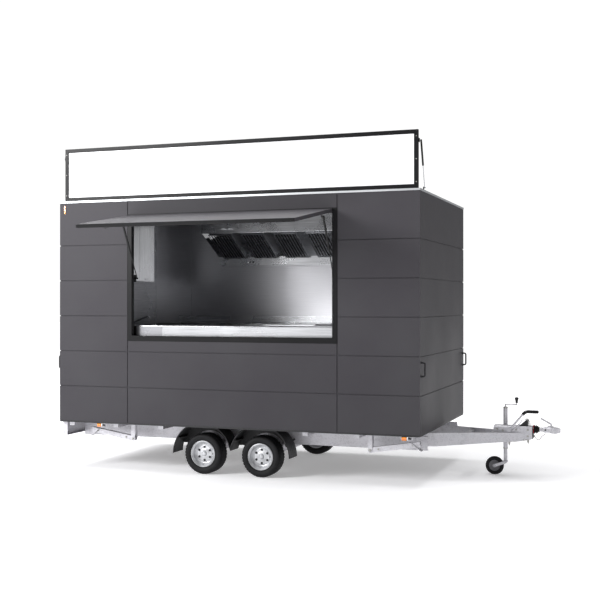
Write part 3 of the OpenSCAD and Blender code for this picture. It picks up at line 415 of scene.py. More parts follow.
def brushed_stainless(name, along, dark="#a4a5a8", light="#cfd0d3", smooth=0.2, rough=0.34):
    """Chrome-nickel sheet brushed by a belt: lines 0.3 m long and under 1 mm apart, drawn at 4 mm."""
    material, tree, shader, place = begin(name, 1.0, smooth)
    scale = [per_mm(4)] * 3
    scale["XYZ".index(along)] = per_mm(300)
    brush = add(tree, "ShaderNodeMapping", {"Vector": place, "Scale": scale})
    lines = add(tree, "ShaderNodeTexNoise", {"Vector": brush.outputs["Vector"], "Scale": 1.0, "Detail": 3.0})
    shade(tree, shader, lines.outputs["Fac"], dark, light, 0.25, 0.75)
    smear = add(tree, "ShaderNodeTexNoise", {"Vector": place, "Scale": 2.2, "Detail": 3.0})
    polish(tree, shader, smear.outputs["Fac"], smooth, rough)
    relief(tree, shader, lines.outputs["Fac"], 0.12, 0.3)
    return material


def chrome_plate(name, colour="#dcdde0", rough=0.07):
    """Bright chrome over nickel: a mirror with faint wipe marks."""
    material, tree, shader, place = begin(name, 1.0, rough, Base_Color=linear(colour))
    wipes = add(tree, "ShaderNodeTexNoise", {"Vector": place, "Scale": per_mm(40), "Detail": 4.0})
    polish(tree, shader, wipes.outputs["Fac"], rough, rough + 0.09)
    return material


def mill_aluminium(name):
    """Rolled aluminium sheet as it leaves the mill: pale, with long faint roll lines."""
    material, tree, shader, place = begin(name, 0.9, 0.4)
    roll = add(tree, "ShaderNodeMapping", {"Vector": place, "Scale": (0.8, per_mm(8), per_mm(8))})
    lines = add(tree, "ShaderNodeTexNoise", {"Vector": roll.outputs["Vector"], "Scale": 1.0, "Detail": 2.0})
    shade(tree, shader, lines.outputs["Fac"], "#aeb0b3", "#c9cbce")
    polish(tree, shader, lines.outputs["Fac"], 0.34, 0.48)
    return material


def silver_lacquer(name):
    """Pressed steel wheel in silver lacquer: fine metal flake, dulled in patches by road film."""
    material, tree, shader, place = begin(name, 0.55, 0.34)
    film = add(tree, "ShaderNodeTexNoise", {"Vector": place, "Scale": per_mm(60), "Detail": 5.0})
    shade(tree, shader, film.outputs["Fac"], "#b2b3b6", "#d2d3d6")
    polish(tree, shader, film.outputs["Fac"], 0.28, 0.42)
    flake = add(tree, "ShaderNodeTexNoise", {"Vector": place, "Scale": per_mm(3), "Detail": 1.0})
    relief(tree, shader, flake.outputs["Fac"], 0.05, 0.3)
    return material


def vulcanised_rubber(name, dark="#0e0e0f", light="#1d1d1e", grain=4, rough=0.62):
    """Carbon black rubber from a mould: dull, greyer where it is rubbed or dusty."""
    material, tree, shader, place = begin(name, 0.0, rough, Specular_IOR_Level=0.2)
    dust = add(tree, "ShaderNodeTexNoise", {"Vector": place, "Scale": per_mm(45), "Detail": 5.0})
    shade(tree, shader, dust.outputs["Fac"], dark, light)
    polish(tree, shader, dust.outputs["Fac"], rough - 0.08, rough + 0.1)
    skin = add(tree, "ShaderNodeTexNoise", {"Vector": place, "Scale": per_mm(grain), "Detail": 3.0})
    relief(tree, shader, skin.outputs["Fac"], 0.25, 0.4)
    return material


def grained_polypropylene(name, dark="#18181a", light="#242427", rough=0.48):
    """Moulded polypropylene: a leather grain of 1 mm, drawn at 3 mm, with a waxy sheen."""
    material, tree, shader, place = begin(name, 0.0, rough, Specular_IOR_Level=0.4)
    cells = add(tree, "ShaderNodeTexVoronoi", {"Vector": place, "Scale": per_mm(3)})
    haze = add(tree, "ShaderNodeTexNoise", {"Vector": place, "Scale": per_mm(120), "Detail": 3.0})
    shade(tree, shader, haze.outputs["Fac"], dark, light)
    polish(tree, shader, haze.outputs["Fac"], rough - 0.06, rough + 0.08)
    relief(tree, shader, cells.outputs["Distance"], 0.12, 0.4)
    return material


def opal_sheet(name):
    """White rigid PVC sheet, calendered: very even, with a soft gloss and the faintest ripple."""
    material, tree, shader, place = begin(name, 0.0, 0.3)
    ripple = add(tree, "ShaderNodeTexNoise", {"Vector": place, "Scale": 3.5, "Detail": 1.0})
    shade(tree, shader, ripple.outputs["Fac"], "#f0f0f2", "#f8f8fa")
    relief(tree, shader, ripple.outputs["Fac"], 0.4, 0.1)
    return material


def acrylic_lens(name, dark, light):
    """Cast acrylic lens with prisms 5 mm apart inside a glossy face."""
    material, tree, shader, place = begin(name, 0.0, 0.12, Coat_Weight=0.6, Coat_Roughness=0.05)
    prisms = {"Vector": place, "Scale": per_mm(5) / 20, "Distortion": 0.0}
    prism = add(tree, "ShaderNodeTexWave", prisms, bands_direction="Z")
    shade(tree, shader, prism.outputs["Fac"], dark, light, 0.0, 1.0)
    relief(tree, shader, prism.outputs["Fac"], 0.5, 0.4)
    return material


def phenolic_ply(name):
    """Birch plywood with a brown phenolic film, pressed with a mesh that is drawn at 15 mm."""
    material, tree, shader, place = begin(name, 0.0, 0.5)
    mesh = add(tree, "ShaderNodeTexVoronoi", {"Vector": place, "Scale": per_mm(15)}, distance="CHEBYCHEV")
    film = add(tree, "ShaderNodeTexNoise", {"Vector": place, "Scale": 5.0, "Detail": 4.0})
    shade(tree, shader, film.outputs["Fac"], "#2a211c", "#3b302a")
    relief(tree, shader, mesh.outputs["Distance"], 0.4, 0.4)
    return material


def safety_vinyl(name):
    """Kitchen floor vinyl: grey, with grit and chips of 6 mm, drawn at 12 mm."""
    material, tree, shader, place = begin(name, 0.0, 0.6)
    chips = add(tree, "ShaderNodeTexVoronoi", {"Vector": place, "Scale": per_mm(12)})
    tone = add(tree, "ShaderNodeSeparateColor", {"Color": chips.outputs["Color"]})
    shade(tree, shader, tone.outputs["Blue"], "#5d5f62", "#85878a", 0.2, 0.9)
    grit = add(tree, "ShaderNodeTexNoise", {"Vector": place, "Scale": per_mm(5), "Detail": 2.0})
    relief(tree, shader, grit.outputs["Fac"], 0.3, 0.5)
    return material


def cast_iron(name):
    """Brake drum of grey cast iron: coarse skin, brown with flash rust."""
    material, tree, shader, place = begin(name, 0.45, 0.7)
    rust = add(tree, "ShaderNodeTexNoise", {"Vector": place, "Scale": per_mm(30), "Detail": 6.0})
    shade(tree, shader, rust.outputs["Fac"], "#2f2d2d", "#54453c", 0.4, 0.7)
    relief(tree, shader, rust.outputs["Fac"], 0.6, 0.5)
    return material


def pale_floor(name):
    """Matt white studio floor with painted light: a faint glow near the middle lifts the shadows, and the
    glow grows with distance until it runs out into a lit backdrop some metres away.
    """
    material, tree, shader, place = begin(name, 0.0, 0.9, Specular_IOR_Level=0.1)
    cloud = add(tree, "ShaderNodeTexNoise", {"Vector": place, "Scale": 0.3, "Detail": 2.0})
    shade(tree, shader, cloud.outputs["Fac"], "#f4f4f6", "#f8f8fa")
    # painted light: glow that grows with distance from the floor's middle
    away = add(tree, "ShaderNodeVectorMath", {0: place}, operation="LENGTH")
    lit = {"Value": away.outputs["Value"], "From Min": 3.6, "From Max": 9.0, "To Min": 0.27, "To Max": 0.85}
    glow = add(tree, "ShaderNodeMapRange", lit, interpolation_type="SMOOTHSTEP")
    shader.inputs["Emission Color"].default_value = (1, 1, 1, 1)
    tree.links.new(glow.outputs["Result"], shader.inputs["Emission Strength"])
    return material


CLADDING = powder_coat("anthracite_powder_coat", "#3c3a3e", "#414043", 0.48, 0.1)
BLACK_COAT = powder_coat("black_powder_coat", "#0b0b0d", "#121214", 0.42, 0.16)
ZINC = hot_dip_zinc("hot_dip_galvanised_steel")
BOLT_ZINC = hot_dip_zinc("zinc_plated_bolts", "#7c7b78", "#a8a7a3")
STAINLESS = brushed_stainless("brushed_stainless_steel", "X")
WALL_STEEL = brushed_stainless("satin_stainless_wall_sheet", "X", "#b2b2b6", "#bfbfc3", 0.28, 0.32)
SINK_STEEL = brushed_stainless("pressed_sink_steel", "X", "#8f8f93", "#a9a9ad", 0.24, 0.34)
STAINLESS_ACROSS = brushed_stainless("cross_brushed_stainless_steel", "Y")
STAINLESS_UPRIGHT = brushed_stainless("upright_brushed_stainless_steel", "Z")
FILTER_STEEL = brushed_stainless("pressed_filter_steel", "Y", "#b4b5b8", "#dadbde", 0.22, 0.3)
CHROME = chrome_plate("bright_chrome")
PISTON = chrome_plate("hard_chromed_rod", "#b9babe", 0.16)
ALUMINIUM = mill_aluminium("mill_finish_aluminium")
RIM_LACQUER = silver_lacquer("silver_wheel_lacquer")
TYRE_RUBBER = vulcanised_rubber("tyre_rubber", "#111112", "#1f1f21")
SEAL_RUBBER = vulcanised_rubber("moulded_black_rubber", "#0b0b0c", "#171718", 3, 0.5)
RED_RUBBER = vulcanised_rubber("red_silicone_rubber", "#8e1620", "#b5222d", 3, 0.45)
CABLE_SLEEVE = grained_polypropylene("vinyl_sleeved_steel_cable", "#3d1d22", "#4a262b", 0.35)
POLYPROPYLENE = grained_polypropylene("grained_black_polypropylene")
HUB_PLASTIC = grained_polypropylene("grey_polypropylene_hub", "#5d5c60", "#6f6e72", 0.4)
SIGN_WHITE = opal_sheet("white_rigid_pvc_sheet")
AMBER = acrylic_lens("amber_acrylic_lens", "#d96a06", "#f7941a")
RED_LENS = acrylic_lens("red_acrylic_lens", "#7d0c10", "#b3181c")
CLEAR_LENS = acrylic_lens("clear_acrylic_lens", "#c3c5c9", "#e9ebee")
PLYWOOD = phenolic_ply("phenolic_plywood")
VINYL = safety_vinyl("speckled_safety_vinyl")
IRON = cast_iron("cast_iron")
# dark bolt heads: painted shade, for the shade round the wheel bolts in the dish of the rim
DARK_BOLT = powder_coat("wheel_bolts_dark_for_painted_shade", "#1d1d1f", "#2c2c2e", 0.35)
BLACK_PAINT = powder_coat("black_gloss_paint", "#0d0d0e", "#151516", 0.22)

# ---------------------------------------------------------------- finishes of the frame's own pieces

FRAME_FINISHES = (
    (CLADDING, "serving_wall back_wall rear_wall front_wall entrance_door serving_hatch"),
    (BLACK_COAT, "hatch_frame sign_frame sign_hinges door_hinges"),
    (POLYPROPYLENE, "grab_handles mudguards wheel_chock"),
    (SIGN_WHITE, "sign_panel"),
    (ALUMINIUM, "roof_panel"),
    (PLYWOOD, "floor_panel"),
    (ZINC, "chassis_rails cross_members drawbar overrun_hitch coupling_head handbrake_lever"),
    (ZINC, "jockey_outer_tube jockey_leg jockey_fork axles rear_lamp_bar steady_brackets"),
    (ZINC, "steady_leg_rear_right steady_leg_front_right steady_leg_rear_left steady_leg_front_left"),
    (STAINLESS, "back_worktop serving_counter extractor_hood"),
    (SINK_STEEL, "sink_unit"),
    (STAINLESS_UPRIGHT, "wall_cabinet"),
    (BLACK_PAINT, "hatch_strut_tube_rear hatch_strut_tube_front hatch_strut_rod_rear"),
    (BLACK_PAINT, "hatch_strut_rod_front sign_strut_tube_rear sign_strut_tube_front"),
    (PISTON, "sign_strut_rod_rear sign_strut_rod_front"),
)


def finish_frame():
    """Gives the frame's own pieces their finishes."""
    for finish, nodes in FRAME_FINISHES:
        for node in nodes.split():
            dress(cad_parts[node], finish)


finish_frame()

# ---------------------------------------------------------------- breakaway cable

CABLE_ROUTE = [
    (972, -36, 470), (979, -36, 470), (987, -36, 466), (996, -37, 456), (1003, -38, 442),
    (1013, -38, 426), (1020, -38, 420), (1028, -38, 417), (1036, -38, 417), (1044, -37, 420),
    (1056, -35, 431), (1065, -32, 446), (1076, -29, 459), (1090, -26, 468), (1101, -24, 476),
    (1106, -22, 489),
]


def breakaway_cable():
    """Steel cable in a dark vinyl sleeve, in one loop from the hitch's nose to the coupling head."""
    bpy.ops.object.select_all(action="DESELECT")
    bpy.ops.curve.primitive_nurbs_path_add(location=(0, 0, 0))
    cable = bpy.context.object
    curve = cable.data
    curve.splines.clear()
    spline = curve.splines.new("BEZIER")
    spline.bezier_points.add(len(CABLE_ROUTE) - 1)
    for point, place in zip(spline.bezier_points, CABLE_ROUTE):
        point.co = ahead(*place)
        point.handle_left_type = point.handle_right_type = "AUTO"
    curve.bevel_depth = 0.0025
    curve.bevel_resolution = 3
    curve.use_fill_caps = True
    cable.name = curve.name = "steel_breakaway_cable"
    curve.materials.append(CABLE_SLEEVE)
    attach(cable, "trailer")
    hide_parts("breakaway_cable")


breakaway_cable()

# ---------------------------------------------------------------- wheels

TYRE_HALF = [
    (127.8, 31), (133, 24), (144, 19.6), (149.5, 14.5), (152.5, 12.5), (154.5, 9),
    (163, 4.6), (176, 1.2), (184, 0.3), (186, -0.1), (188, 0.6), (198, 2.4), (208, 7.8), (215, 14),
    (220, 21.5), (222.6, 29), (223.5, 38), (223.7, 46), (217.6, 47.5), (217.6, 54), (223.9, 55.5),
    (224.2, 74), (217.4, 75.5), (217.4, 82.5), (224.3, 84),
]
RIM_FRONT = [
    (144.5, 17.5), (144.8, 13.5), (143, 11), (140, 10.2), (137.6, 12), (136.6, 16.5), (133.5, 20.5),
    (127.5, 23.5), (124, 27), (122.6, 33), (122.4, 49), (119, 55), (112, 59.5), (108, 64),
]
RIM_BACK = [
    (112, 68), (124, 58), (127, 54), (127, 28), (132, 23), (140, 20.5),
]
DISC = [
    (111, 61), (105, 59.5), (100, 61.5), (96, 64), (92, 63), (88, 58.5), (84, 56.6), (62, 56.2),
    (57, 54.5), (50, 53.4), (45, 51), (36, 49.6), (30, 50), (29, 60), (50, 61), (84, 64.5),
    (95, 73), (111, 73),
]
HUB_CAP = [
    (0.1, 33), (14, 33.2), (18.5, 34.5), (20.8, 38), (22, 42), (25.5, 44), (27, 47), (27.2, 62), (0.1, 62),
]
DRUM = [
    (0.1, 66), (92, 66), (97, 69), (98, 76), (98, 96), (95.5, 98), (95.5, 101), (98, 103),
    (98, 120), (95.5, 122), (95.5, 125), (98, 127), (98, 144), (90, 147), (18, 147), (17.5, 80), (0.1, 80),
]


def mirrored(profile, width):
    """A profile on the other side of the middle of the width, in reverse order."""
    return [(r, width - a) for r, a in reversed(profile)]


def both_halves(half, width):
    """A profile and its mirror image."""
    return [*half, *mirrored(half, width)]


def make_tyre(name, centre, outward, width):
    """Tyre with grooves in its tread and slots in its shoulders."""
    start = centre + Vector((0, outward * width / 2000, 0))
    tyre = turned(both_halves(TYRE_HALF, width), start, (0, -outward, 0), 120)

    def in_shoulder_slot(place):
        away = place - centre
        angle = math.degrees(math.atan2(away.z, away.x)) % 360
        depth = width / 2 - abs(away.y) * 1000
        reach = math.hypot(away.x, away.z) * 1000
        return 10 < depth < 46 and reach > 211 and int(angle / 3) % 3 == 0

    press_in(tyre, in_shoulder_slot, 5)
    fit(tyre, "treaded_tyre_" + name, TYRE_RUBBER, "wheel_" + name)
    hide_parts("tyre_" + name)


def make_rim(name, centre, outward, width):
    """Barrel, disc, hub cap, six bolts and valve, and the brake drum behind them."""
    start = centre + Vector((0, outward * width / 2000, 0))
    inward = Vector((0, -outward, 0))
    inside = [*RIM_FRONT, (108, width / 2), *mirrored(RIM_FRONT, width)]
    outside = [*mirrored(RIM_BACK, width), (112, width / 2), *RIM_BACK]
    pieces = [dress(turned(profile, start, inward, sides), RIM_LACQUER)
              for profile, sides in (([*inside, *outside], 96), (DISC, 96), (HUB_CAP, 48))]
    seat = rod(start + inward * 0.052, start + inward * 0.058, 13, 24, edge=1)
    head = rod(start + inward * 0.044, start + inward * 0.053, 9.5, 6, edge=1.2)
    # the bolt heads take the dark finish: painted shade
    bolt = dress(join([head, seat]), DARK_BOLT)
    bolt.location = (0, 0, 0.073)
    settle(bolt)
    for i in range(6):
        pieces.append(copied(bolt, turn=60 * i, axis="Y", about=start))
    bpy.data.objects.remove(bolt)
    valve = [start + inward * a + Vector((r, 0, 0)) for a, r in ((0.058, 0.096), (0.03, 0.104))]
    pieces.append(dress(wire(valve, 4), SEAL_RUBBER))
    rim = join(pieces)
    fit(rim, "pressed_rim_" + name, None, "wheel_" + name)
    fit(turned(DRUM, start, inward, 64), "brake_drum_" + name, IRON, "wheel_" + name)
    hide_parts("rim_" + name)


def make_wheels():
    """A tyre, a rim and a brake drum at each wheel of the frame."""
    for name in WHEELS:
        low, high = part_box("tyre_" + name)
        centre = (low + high) / 2
        outward = -1 if centre.y < MIDDLE else 1
        width = (high.y - low.y) * 1000
        make_tyre(name, centre, outward, width)
        make_rim(name, centre, outward, width)


def guard_line(radius, y):
    """The edge of a double mudguard, from its rear foot over both wheels."""
    tyre_low, tyre_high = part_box("tyre_rear_right")
    top = limits("mudguards")[1][2]
    axle_z = (tyre_high.z - tyre_low.z) * 500
    centres = [sum(corner.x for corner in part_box("tyre_" + n)) * 500 - REAR * 1000
               for n in ("rear_right", "front_right")]
    cut = math.degrees(math.asin((top - 3 - axle_z) / radius))
    meet = math.degrees(math.acos((centres[1] - centres[0]) / 2 / radius))
    line = []
    for x, first, last in ((centres[0], 180, meet), (centres[1], 180 - meet, 0)):
        for i in range(25):
            angle = first + (last - first) * i / 24
            flat = min(max(angle, cut), 180 - cut) if cut < angle < 180 - cut else angle
            z = min(axle_z + radius * math.sin(math.radians(flat)), top - 3)
            line.append(spot(x + radius * math.cos(math.radians(angle)), y, z))
    return line


def mudguard_lips():
    """Rolled edges of the guards, and the ribs between them."""
    radius = (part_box("tyre_rear_right")[0].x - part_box("mudguards")[0].x) * 1000 + 224.5
    outer = limits("mudguards")[0][1]
    lips = [wire(guard_line(radius - 4, outer + 3), 6), wire(guard_line(radius - 4, outer + 228), 6)]
    for rib in (60, 115, 170):
        lips.append(wire(guard_line(radius - 1, outer + rib), 3, sides=2))
    fit(both_sides(*lips), "mudguard_lips", POLYPROPYLENE)


def mudguard_inner_walls():
    """Arched splash walls on the inner side of each pair of guards."""
    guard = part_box("mudguards")
    y = limits("mudguards")[0][1] + 228
    ground = (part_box("tyre_rear_right")[0].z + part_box("tyre_rear_right")[1].z) / 2
    middles = [sum(corner.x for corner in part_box("tyre_" + n)) / 2 for n in ("rear_right", "front_right")]
    meeting = sum(middles) / 2
    arch = [(238, 0), (343, 0), (343, 4), (238, 4)]
    walls = []
    for x, way in zip(middles, (1, -1)):
        wall = turned(arch, Vector((x, SERVING + y / 1000, ground)), (0, 1, 0), 96)
        for place, normal in (
            ((0, 0, ground + 0.09), (0, 0, 1)),
            ((0, 0, guard[1].z - 0.001), (0, 0, -1)),
            ((meeting - way * 0.001, 0, 0), (-way, 0, 0)),
        ):
            take(wall)
            bpy.ops.object.mode_set(mode="EDIT")
            bpy.ops.mesh.select_all(action="SELECT")
            bpy.ops.mesh.bisect(plane_co=place, plane_no=normal, clear_inner=True, use_fill=True)
            bpy.ops.object.mode_set(mode="OBJECT")
        walls.append(wall)
    fit(both_sides(*walls), "mudguard_inner_walls", POLYPROPYLENE)


make_wheels()
mudguard_lips()
mudguard_inner_walls()

# ---------------------------------------------------------------- hitch


def bolts(places, axis, size=10.0, height=7.0):
    """A hexagon bolt at each place, as one."""
    return join([hex_bolt(place, axis, size, height) for place in places])


def hitch_details():
    """Gaiter with its ring, nose flange, bolts and the pressings of the case."""
    bellows = [
        (31, 0), (37, 1), (38, 5), (35, 7), (36, 13), (45, 15), (46.5, 18), (46.3, 21), (43, 24), (34, 27),
        (34, 30), (44, 33), (45.5, 36), (45, 39), (41, 42), (33, 45), (33, 47), (39, 49), (40, 52),
        (38, 55), (30, 58), (27, 62), (26, 70), (22.4, 71), (22.4, 0),
    ]
    gaiter = turned(bellows, ahead(972, 0, SHAFT), (1, 0, 0), 64)
    fit(gaiter, "hitch_gaiter", SEAL_RUBBER)
    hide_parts("hitch_bellows")
    ring = turned([(35, 5), (44, 5.5), (45.5, 9), (44, 12.5), (35, 13)], ahead(972, 0, SHAFT), (1, 0, 0), 64)
    fit(ring, "gaiter_ring", RED_RUBBER)
    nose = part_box("overrun_hitch")
    flange = block(ahead(972.3, -56, nose[0].z * 1000 + 4), ahead(977, 56, nose[1].z * 1000 - 3), 2.5)
    fit(flange, "nose_flange", BLACK_COAT)
    corners = [ahead(977, y, z) for y in (-43, 43) for z in (440, 541)]
    fit(bolts(corners, (1, 0, 0), 7, 5), "flange_bolts", BOLT_ZINC)
    side = [ahead(x, -62, z) for x, z in ((600, 520), (660, 505), (800, 520), (925, 452), (925, 520))]
    fit(both_sides(bolts(side, (0, -1, 0), 9, 6)), "hitch_bolts", BOLT_ZINC)
    # folded rim and pressed rib of the case
    rim = block(ahead(562, -63.2, 486.2), ahead(902, -61.6, 499), 0.7)
    rib = block(ahead(585, -63.6, 508), ahead(890, -61.6, 516), 0.9)
    cap = block(ahead(590, -34, 555.4), ahead(800, 34, 558.6), 1.4)
    fit(join([both_sides(rim, rib), cap]), "hitch_case_pressings", ZINC)


def under_hitch():
    """Grease points with their locknuts, and the pull rod of the brakes."""
    pieces = []
    for x, top in ((723, 392), (925, 421)):
        pieces += [
            rod(ahead(x, -20, top), ahead(x, -20, top - 12), 17, 6, edge=1.5),
            rod(ahead(x, -20, top - 11), ahead(x, -20, top - 28), 11, 16, edge=1),
            rod(ahead(x, -20, top - 27), ahead(x, -20, top - 54), 12, 16, nose=3),
        ]
    fit(join(pieces), "grease_points", BOLT_ZINC)
    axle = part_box("axles")
    line = [
        Vector((axle[1].x + 0.012, MIDDLE, 0.372)), ahead(480, 0, 372), ahead(640, -30, 378),
        ahead(800, -40, 390), ahead(935, -44, 415),
    ]
    pull = wire(line, 5, 60)
    clevis = block(Vector((axle[1].x + 0.004, MIDDLE - 0.014, 0.358)),
                   Vector((axle[1].x + 0.05, MIDDLE + 0.014, 0.386)), 2)
    yoke = block(Vector((axle[1].x - 0.01, MIDDLE - 0.16, 0.345)),
                 Vector((axle[1].x + 0.006, MIDDLE + 0.16, 0.38)), 3)
    fit(join([pull, clevis, yoke]), "brake_pull_rod", BOLT_ZINC)


def handbrake_details():
    """Grip, stiffening bar, spring and ratchet of the handbrake lever."""
    y = -72
    grip = [(876, 688), (908, 717), (1029, 717)]
    line = [ahead(x, y, z) for x, z in grip]
    sleeve = wire(line, 17.3, 26, sides=5)
    ribs = [turned([(17, 0), (18.6, 1.5), (18.6, 4), (17, 5.5)], ahead(x, y, 717), (1, 0, 0), 32)
            for x in (940, 960, 980, 1000)]
    tip = turned([(0.1, 0), (9, 1), (15, 4), (17.6, 10), (17.6, 16), (0.1, 16)],
                 ahead(1043, y, 717), (-1, 0, 0), 32)
    fit(join([sleeve, tip, *ribs]), "handbrake_grip", SEAL_RUBBER)
    bar = wire([ahead(716, y, 496), ahead(862, y, 671)], 10.6, sides=5)
    spring = rod(ahead(768, y + 2, 508), ahead(838, y + 2, 580), 9, 24, edge=1)
    piston = rod(ahead(836, y + 2, 578), ahead(872, y + 2, 632), 4, 16)
    ratchet = turned([(8, 0), (30, 0), (31, 1.5), (30, 3), (8, 3)], ahead(727, y + 6, 509), (0, 1, 0), 40)
    pin = hex_bolt(ahead(727, y - 12.3, 509), (0, -1, 0), 10, 6)
    fit(join([bar, spring, piston, ratchet, pin]), "handbrake_spring", ZINC)


def chock_details():
    """Wire clip that holds the chock, and the ribs of the chock's face."""
    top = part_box("overrun_hitch")[1].z * 1000
    clip = [(940, 0), (936, 34), (918, 70), (905, 76), (893, 69)]
    near = wire([ahead(x, -40, top + z) for x, z in clip], 3, 10)
    far = wire([ahead(x, 40, top + z) for x, z in clip], 3, 10)
    cross = wire([ahead(893, -40, top + 69), ahead(893, 40, top + 69)], 3)
    fit(join([near, far, cross]), "chock_clip", BOLT_ZINC)
    ribs = [block(ahead(834, y - 3, top + 2), ahead(905, y + 3, top + 9), 1.5) for y in (-24, -8, 8, 24)]
    fit(join(ribs), "chock_ribs", POLYPROPYLENE)


def coupling_details():
    """Wear stud, bolts, latch and socket lip of the coupling head, and its handle's collar."""
    stud = turned([(0.1, 0), (7, 0.6), (9.5, 2.4), (10.5, 6), (10.5, 9), (0.1, 9)],
                  ahead(1108, -37, SHAFT), (0, 1, 0), 32)
    fit(stud, "coupling_wear_stud", POLYPROPYLENE)
    bolts_near = bolts([ahead(1094, -34, SHAFT + 6), ahead(1132, -34, SHAFT + 8)], (0, -1, 0), 8, 6)
    latch = block(ahead(1128, -13, SHAFT + 27), ahead(1190, 13, SHAFT + 40), 4)
    lip = turned([(25.5, 0), (33, 0), (34.5, 2), (33, 4), (25.5, 4)],
                 ahead(1195, 0, SHAFT - 36), (0, 0, 1), 48)
    fit(join([both_sides(bolts_near), latch, lip]), "coupling_fittings", ZINC)
    loop = turned([(9, 0), (12, 1.5), (12, 4.5), (9, 6)], ahead(1174, -3, SHAFT + 22), (0, 1, 0), 24)
    fit(loop, "coupling_handle_collar", BOLT_ZINC)


def drawbar_cheeks():
    """Plates that close the gap between the arms and the nose of the overrun device."""
    fit(both_sides(block(ahead(862, -63.5, 417), ahead(958, -60.3, 484), 1.2)), "drawbar_cheeks", ZINC)


hitch_details()
under_hitch()
handbrake_details()
chock_details()
coupling_details()
drawbar_cheeks()

# ---------------------------------------------------------------- jockey wheel


def jockey_details():
    """Solid tyre and hub, axle nuts, crank knob and the fittings of the tube."""
    low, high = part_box("jockey_wheel")
    centre = (low + high) / 2
    width = (high.y - low.y) * 1000
    start = Vector((centre.x, low.y, centre.z))
    tyre_half = [(59, 9), (66, 3), (76, 0.4), (86, 1.2), (93, 5), (97.5, 10.5), (99.4, 15), (96.2, 16.2),
                 (96.2, 18.4), (99.9, 19.6)]
    tyre = turned(both_halves(tyre_half, width), start, (0, 1, 0), 96)
    fit(tyre, "jockey_tyre", TYRE_RUBBER, "jockey_wheel")
    hub_half = [(9, 1), (17, 1), (20, 4), (22, 11), (40, 13), (44, 8), (52, 8), (57, 4), (60, 5), (60.5, 9)]
    hub = turned([*hub_half, (60.5, width / 2), *mirrored(hub_half, width)], start, (0, 1, 0), 64)
    fit(hub, "jockey_hub", HUB_PLASTIC, "jockey_wheel")
    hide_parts("jockey_wheel")
    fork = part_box("jockey_fork")
    nuts = []
    for y, way in ((fork[0].y, -1), (fork[1].y, 1)):
        nuts.append(hex_bolt(Vector((centre.x, y - way * 0.0045, centre.z)), (0, way, 0), 9, 2.4))
    fit(join(nuts), "jockey_axle_nuts", DARK_BOLT, "jockey_fork")
    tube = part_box("jockey_outer_tube")
    crank_x = tube[1].x - 0.019
    top = tube[1].z
    y = (tube[0].y + tube[1].y) / 2
    knob = [(0.1, 0), (9, 0.6), (17, 4), (20.6, 9), (21, 15), (19.6, 22), (16, 32), (13.4, 46),
            (13, 64), (0.1, 64)]
    grip = turned(knob, Vector((crank_x, y, top + 0.001)), (0, 0, -1), 40)
    fit(grip, "jockey_crank_knob", POLYPROPYLENE)
    x = tube[0].x + 0.024
    cap = turned([(0.1, 0), (16, 0), (24.6, 3), (25.4, 6), (25.4, 16), (24.2, 17), (0.1, 17)],
                 Vector((x, y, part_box("drawbar")[1].z + 0.2625)), (0, 0, -1), 48)
    collar = turned([(24.1, 0), (27, 1), (27.5, 5), (27, 9), (24.1, 10)],
                    Vector((x, y, tube[0].z)), (0, 0, 1), 48)
    clamp = [rod(Vector((x, y + 0.02, 0.512)), Vector((x, y + 0.05, 0.512)), 6, 16, edge=1),
             rod(Vector((x - 0.035, y + 0.05, 0.512)), Vector((x + 0.035, y + 0.05, 0.512)), 5, 16, edge=1.5)]
    fit(join([cap, collar, *clamp]), "jockey_tube_fittings", BOLT_ZINC)


jockey_details()

# ---------------------------------------------------------------- outside of the body


def skirt_strip():
    """Dark strip in the recess along the foot of the cladding."""
    depth, top = 2.8, FLOOR + 19.5
    low = FLOOR + 0.3
    near = slab((3.2, 0.6, low), (LENGTH - 3.2, depth, top), 0.4)
    end = slab((0.6, 3.2, low), (depth, WIDTH - 3.2, top), 0.4)
    other = flipped(end, "X", (REAR + FRONT) / 2)
    fit(join([near, flipped(near), end, other]), "skirt_strip", POLYPROPYLENE)


def roof_edge():
    """Drip bead under the roof's flashing, and its row of screws."""
    z = ROOF * 1000
    near = slab((-3.2, -3.2, z - 9), (LENGTH + 3.2, 0.2, z + 0.5), 1)
    end = slab((-3.2, -0.2, z - 9), (0.2, WIDTH + 0.2, z + 0.5), 1)
    pieces = [near, flipped(near), end, flipped(end, "X", (REAR + FRONT) / 2)]
    fit(join(pieces), "roof_drip_bead", ALUMINIUM)
    top = limits("roof_panel")[1][2]
    heads = []
    head = turned([(0.1, 0), (3, 0), (5, 1), (5.5, 2.6), (0.1, 2.6)], spot(60, 20, top + 2.2), (0, 0, -1), 12)
    for i in range(21):
        for across in (0, (WIDTH - 40) / 1000):
            heads.append(copied(head, (i * (LENGTH - 120) / 20 / 1000, across, 0)))
    for i in range(1, 11):
        for along in (-0.04, (LENGTH - 80) / 1000):
            heads.append(copied(head, (along, i * (WIDTH - 40) / 11 / 1000, 0)))
    bpy.data.objects.remove(head)
    fit(join(heads), "roof_screws", BOLT_ZINC)


def marker_lamps():
    """Amber side lamps on black feet with a pale reflector beside, and the top markers."""
    feet, lenses, plates = [], [], []
    for x in (511, LENGTH - 161):
        lenses.append(slab((x - 33, 12, FLOOR - 40), (x + 18, 34, FLOOR - 6), 4, 3))
        feet.append(slab((x - 35, 20, FLOOR - 42), (x + 22, 40, FLOOR), 3))
        plates.append(slab((x + 20, 14, FLOOR - 39), (x + 33, 30, FLOOR - 2), 2))
        feet.append(rod(spot(x + 33, 26, FLOOR - 20), spot(x + 64, 26, FLOOR - 24), 9, 20, edge=2))
    feet.append(slab((55, -4, 2896), (78, -0.2, 2994), 1.5))
    lenses.append(slab((57, -6, 2900), (76, -1, 2990), 2, 3))
    for name, pieces, finish in (
        ("marker_feet", feet, POLYPROPYLENE),
        ("marker_lenses", lenses, AMBER),
        ("marker_reflectors", plates, CLEAR_LENS),
    ):
        made = fit(both_sides(*pieces), name, finish)
        if name == "marker_lenses":
            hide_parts("marker_lamps")


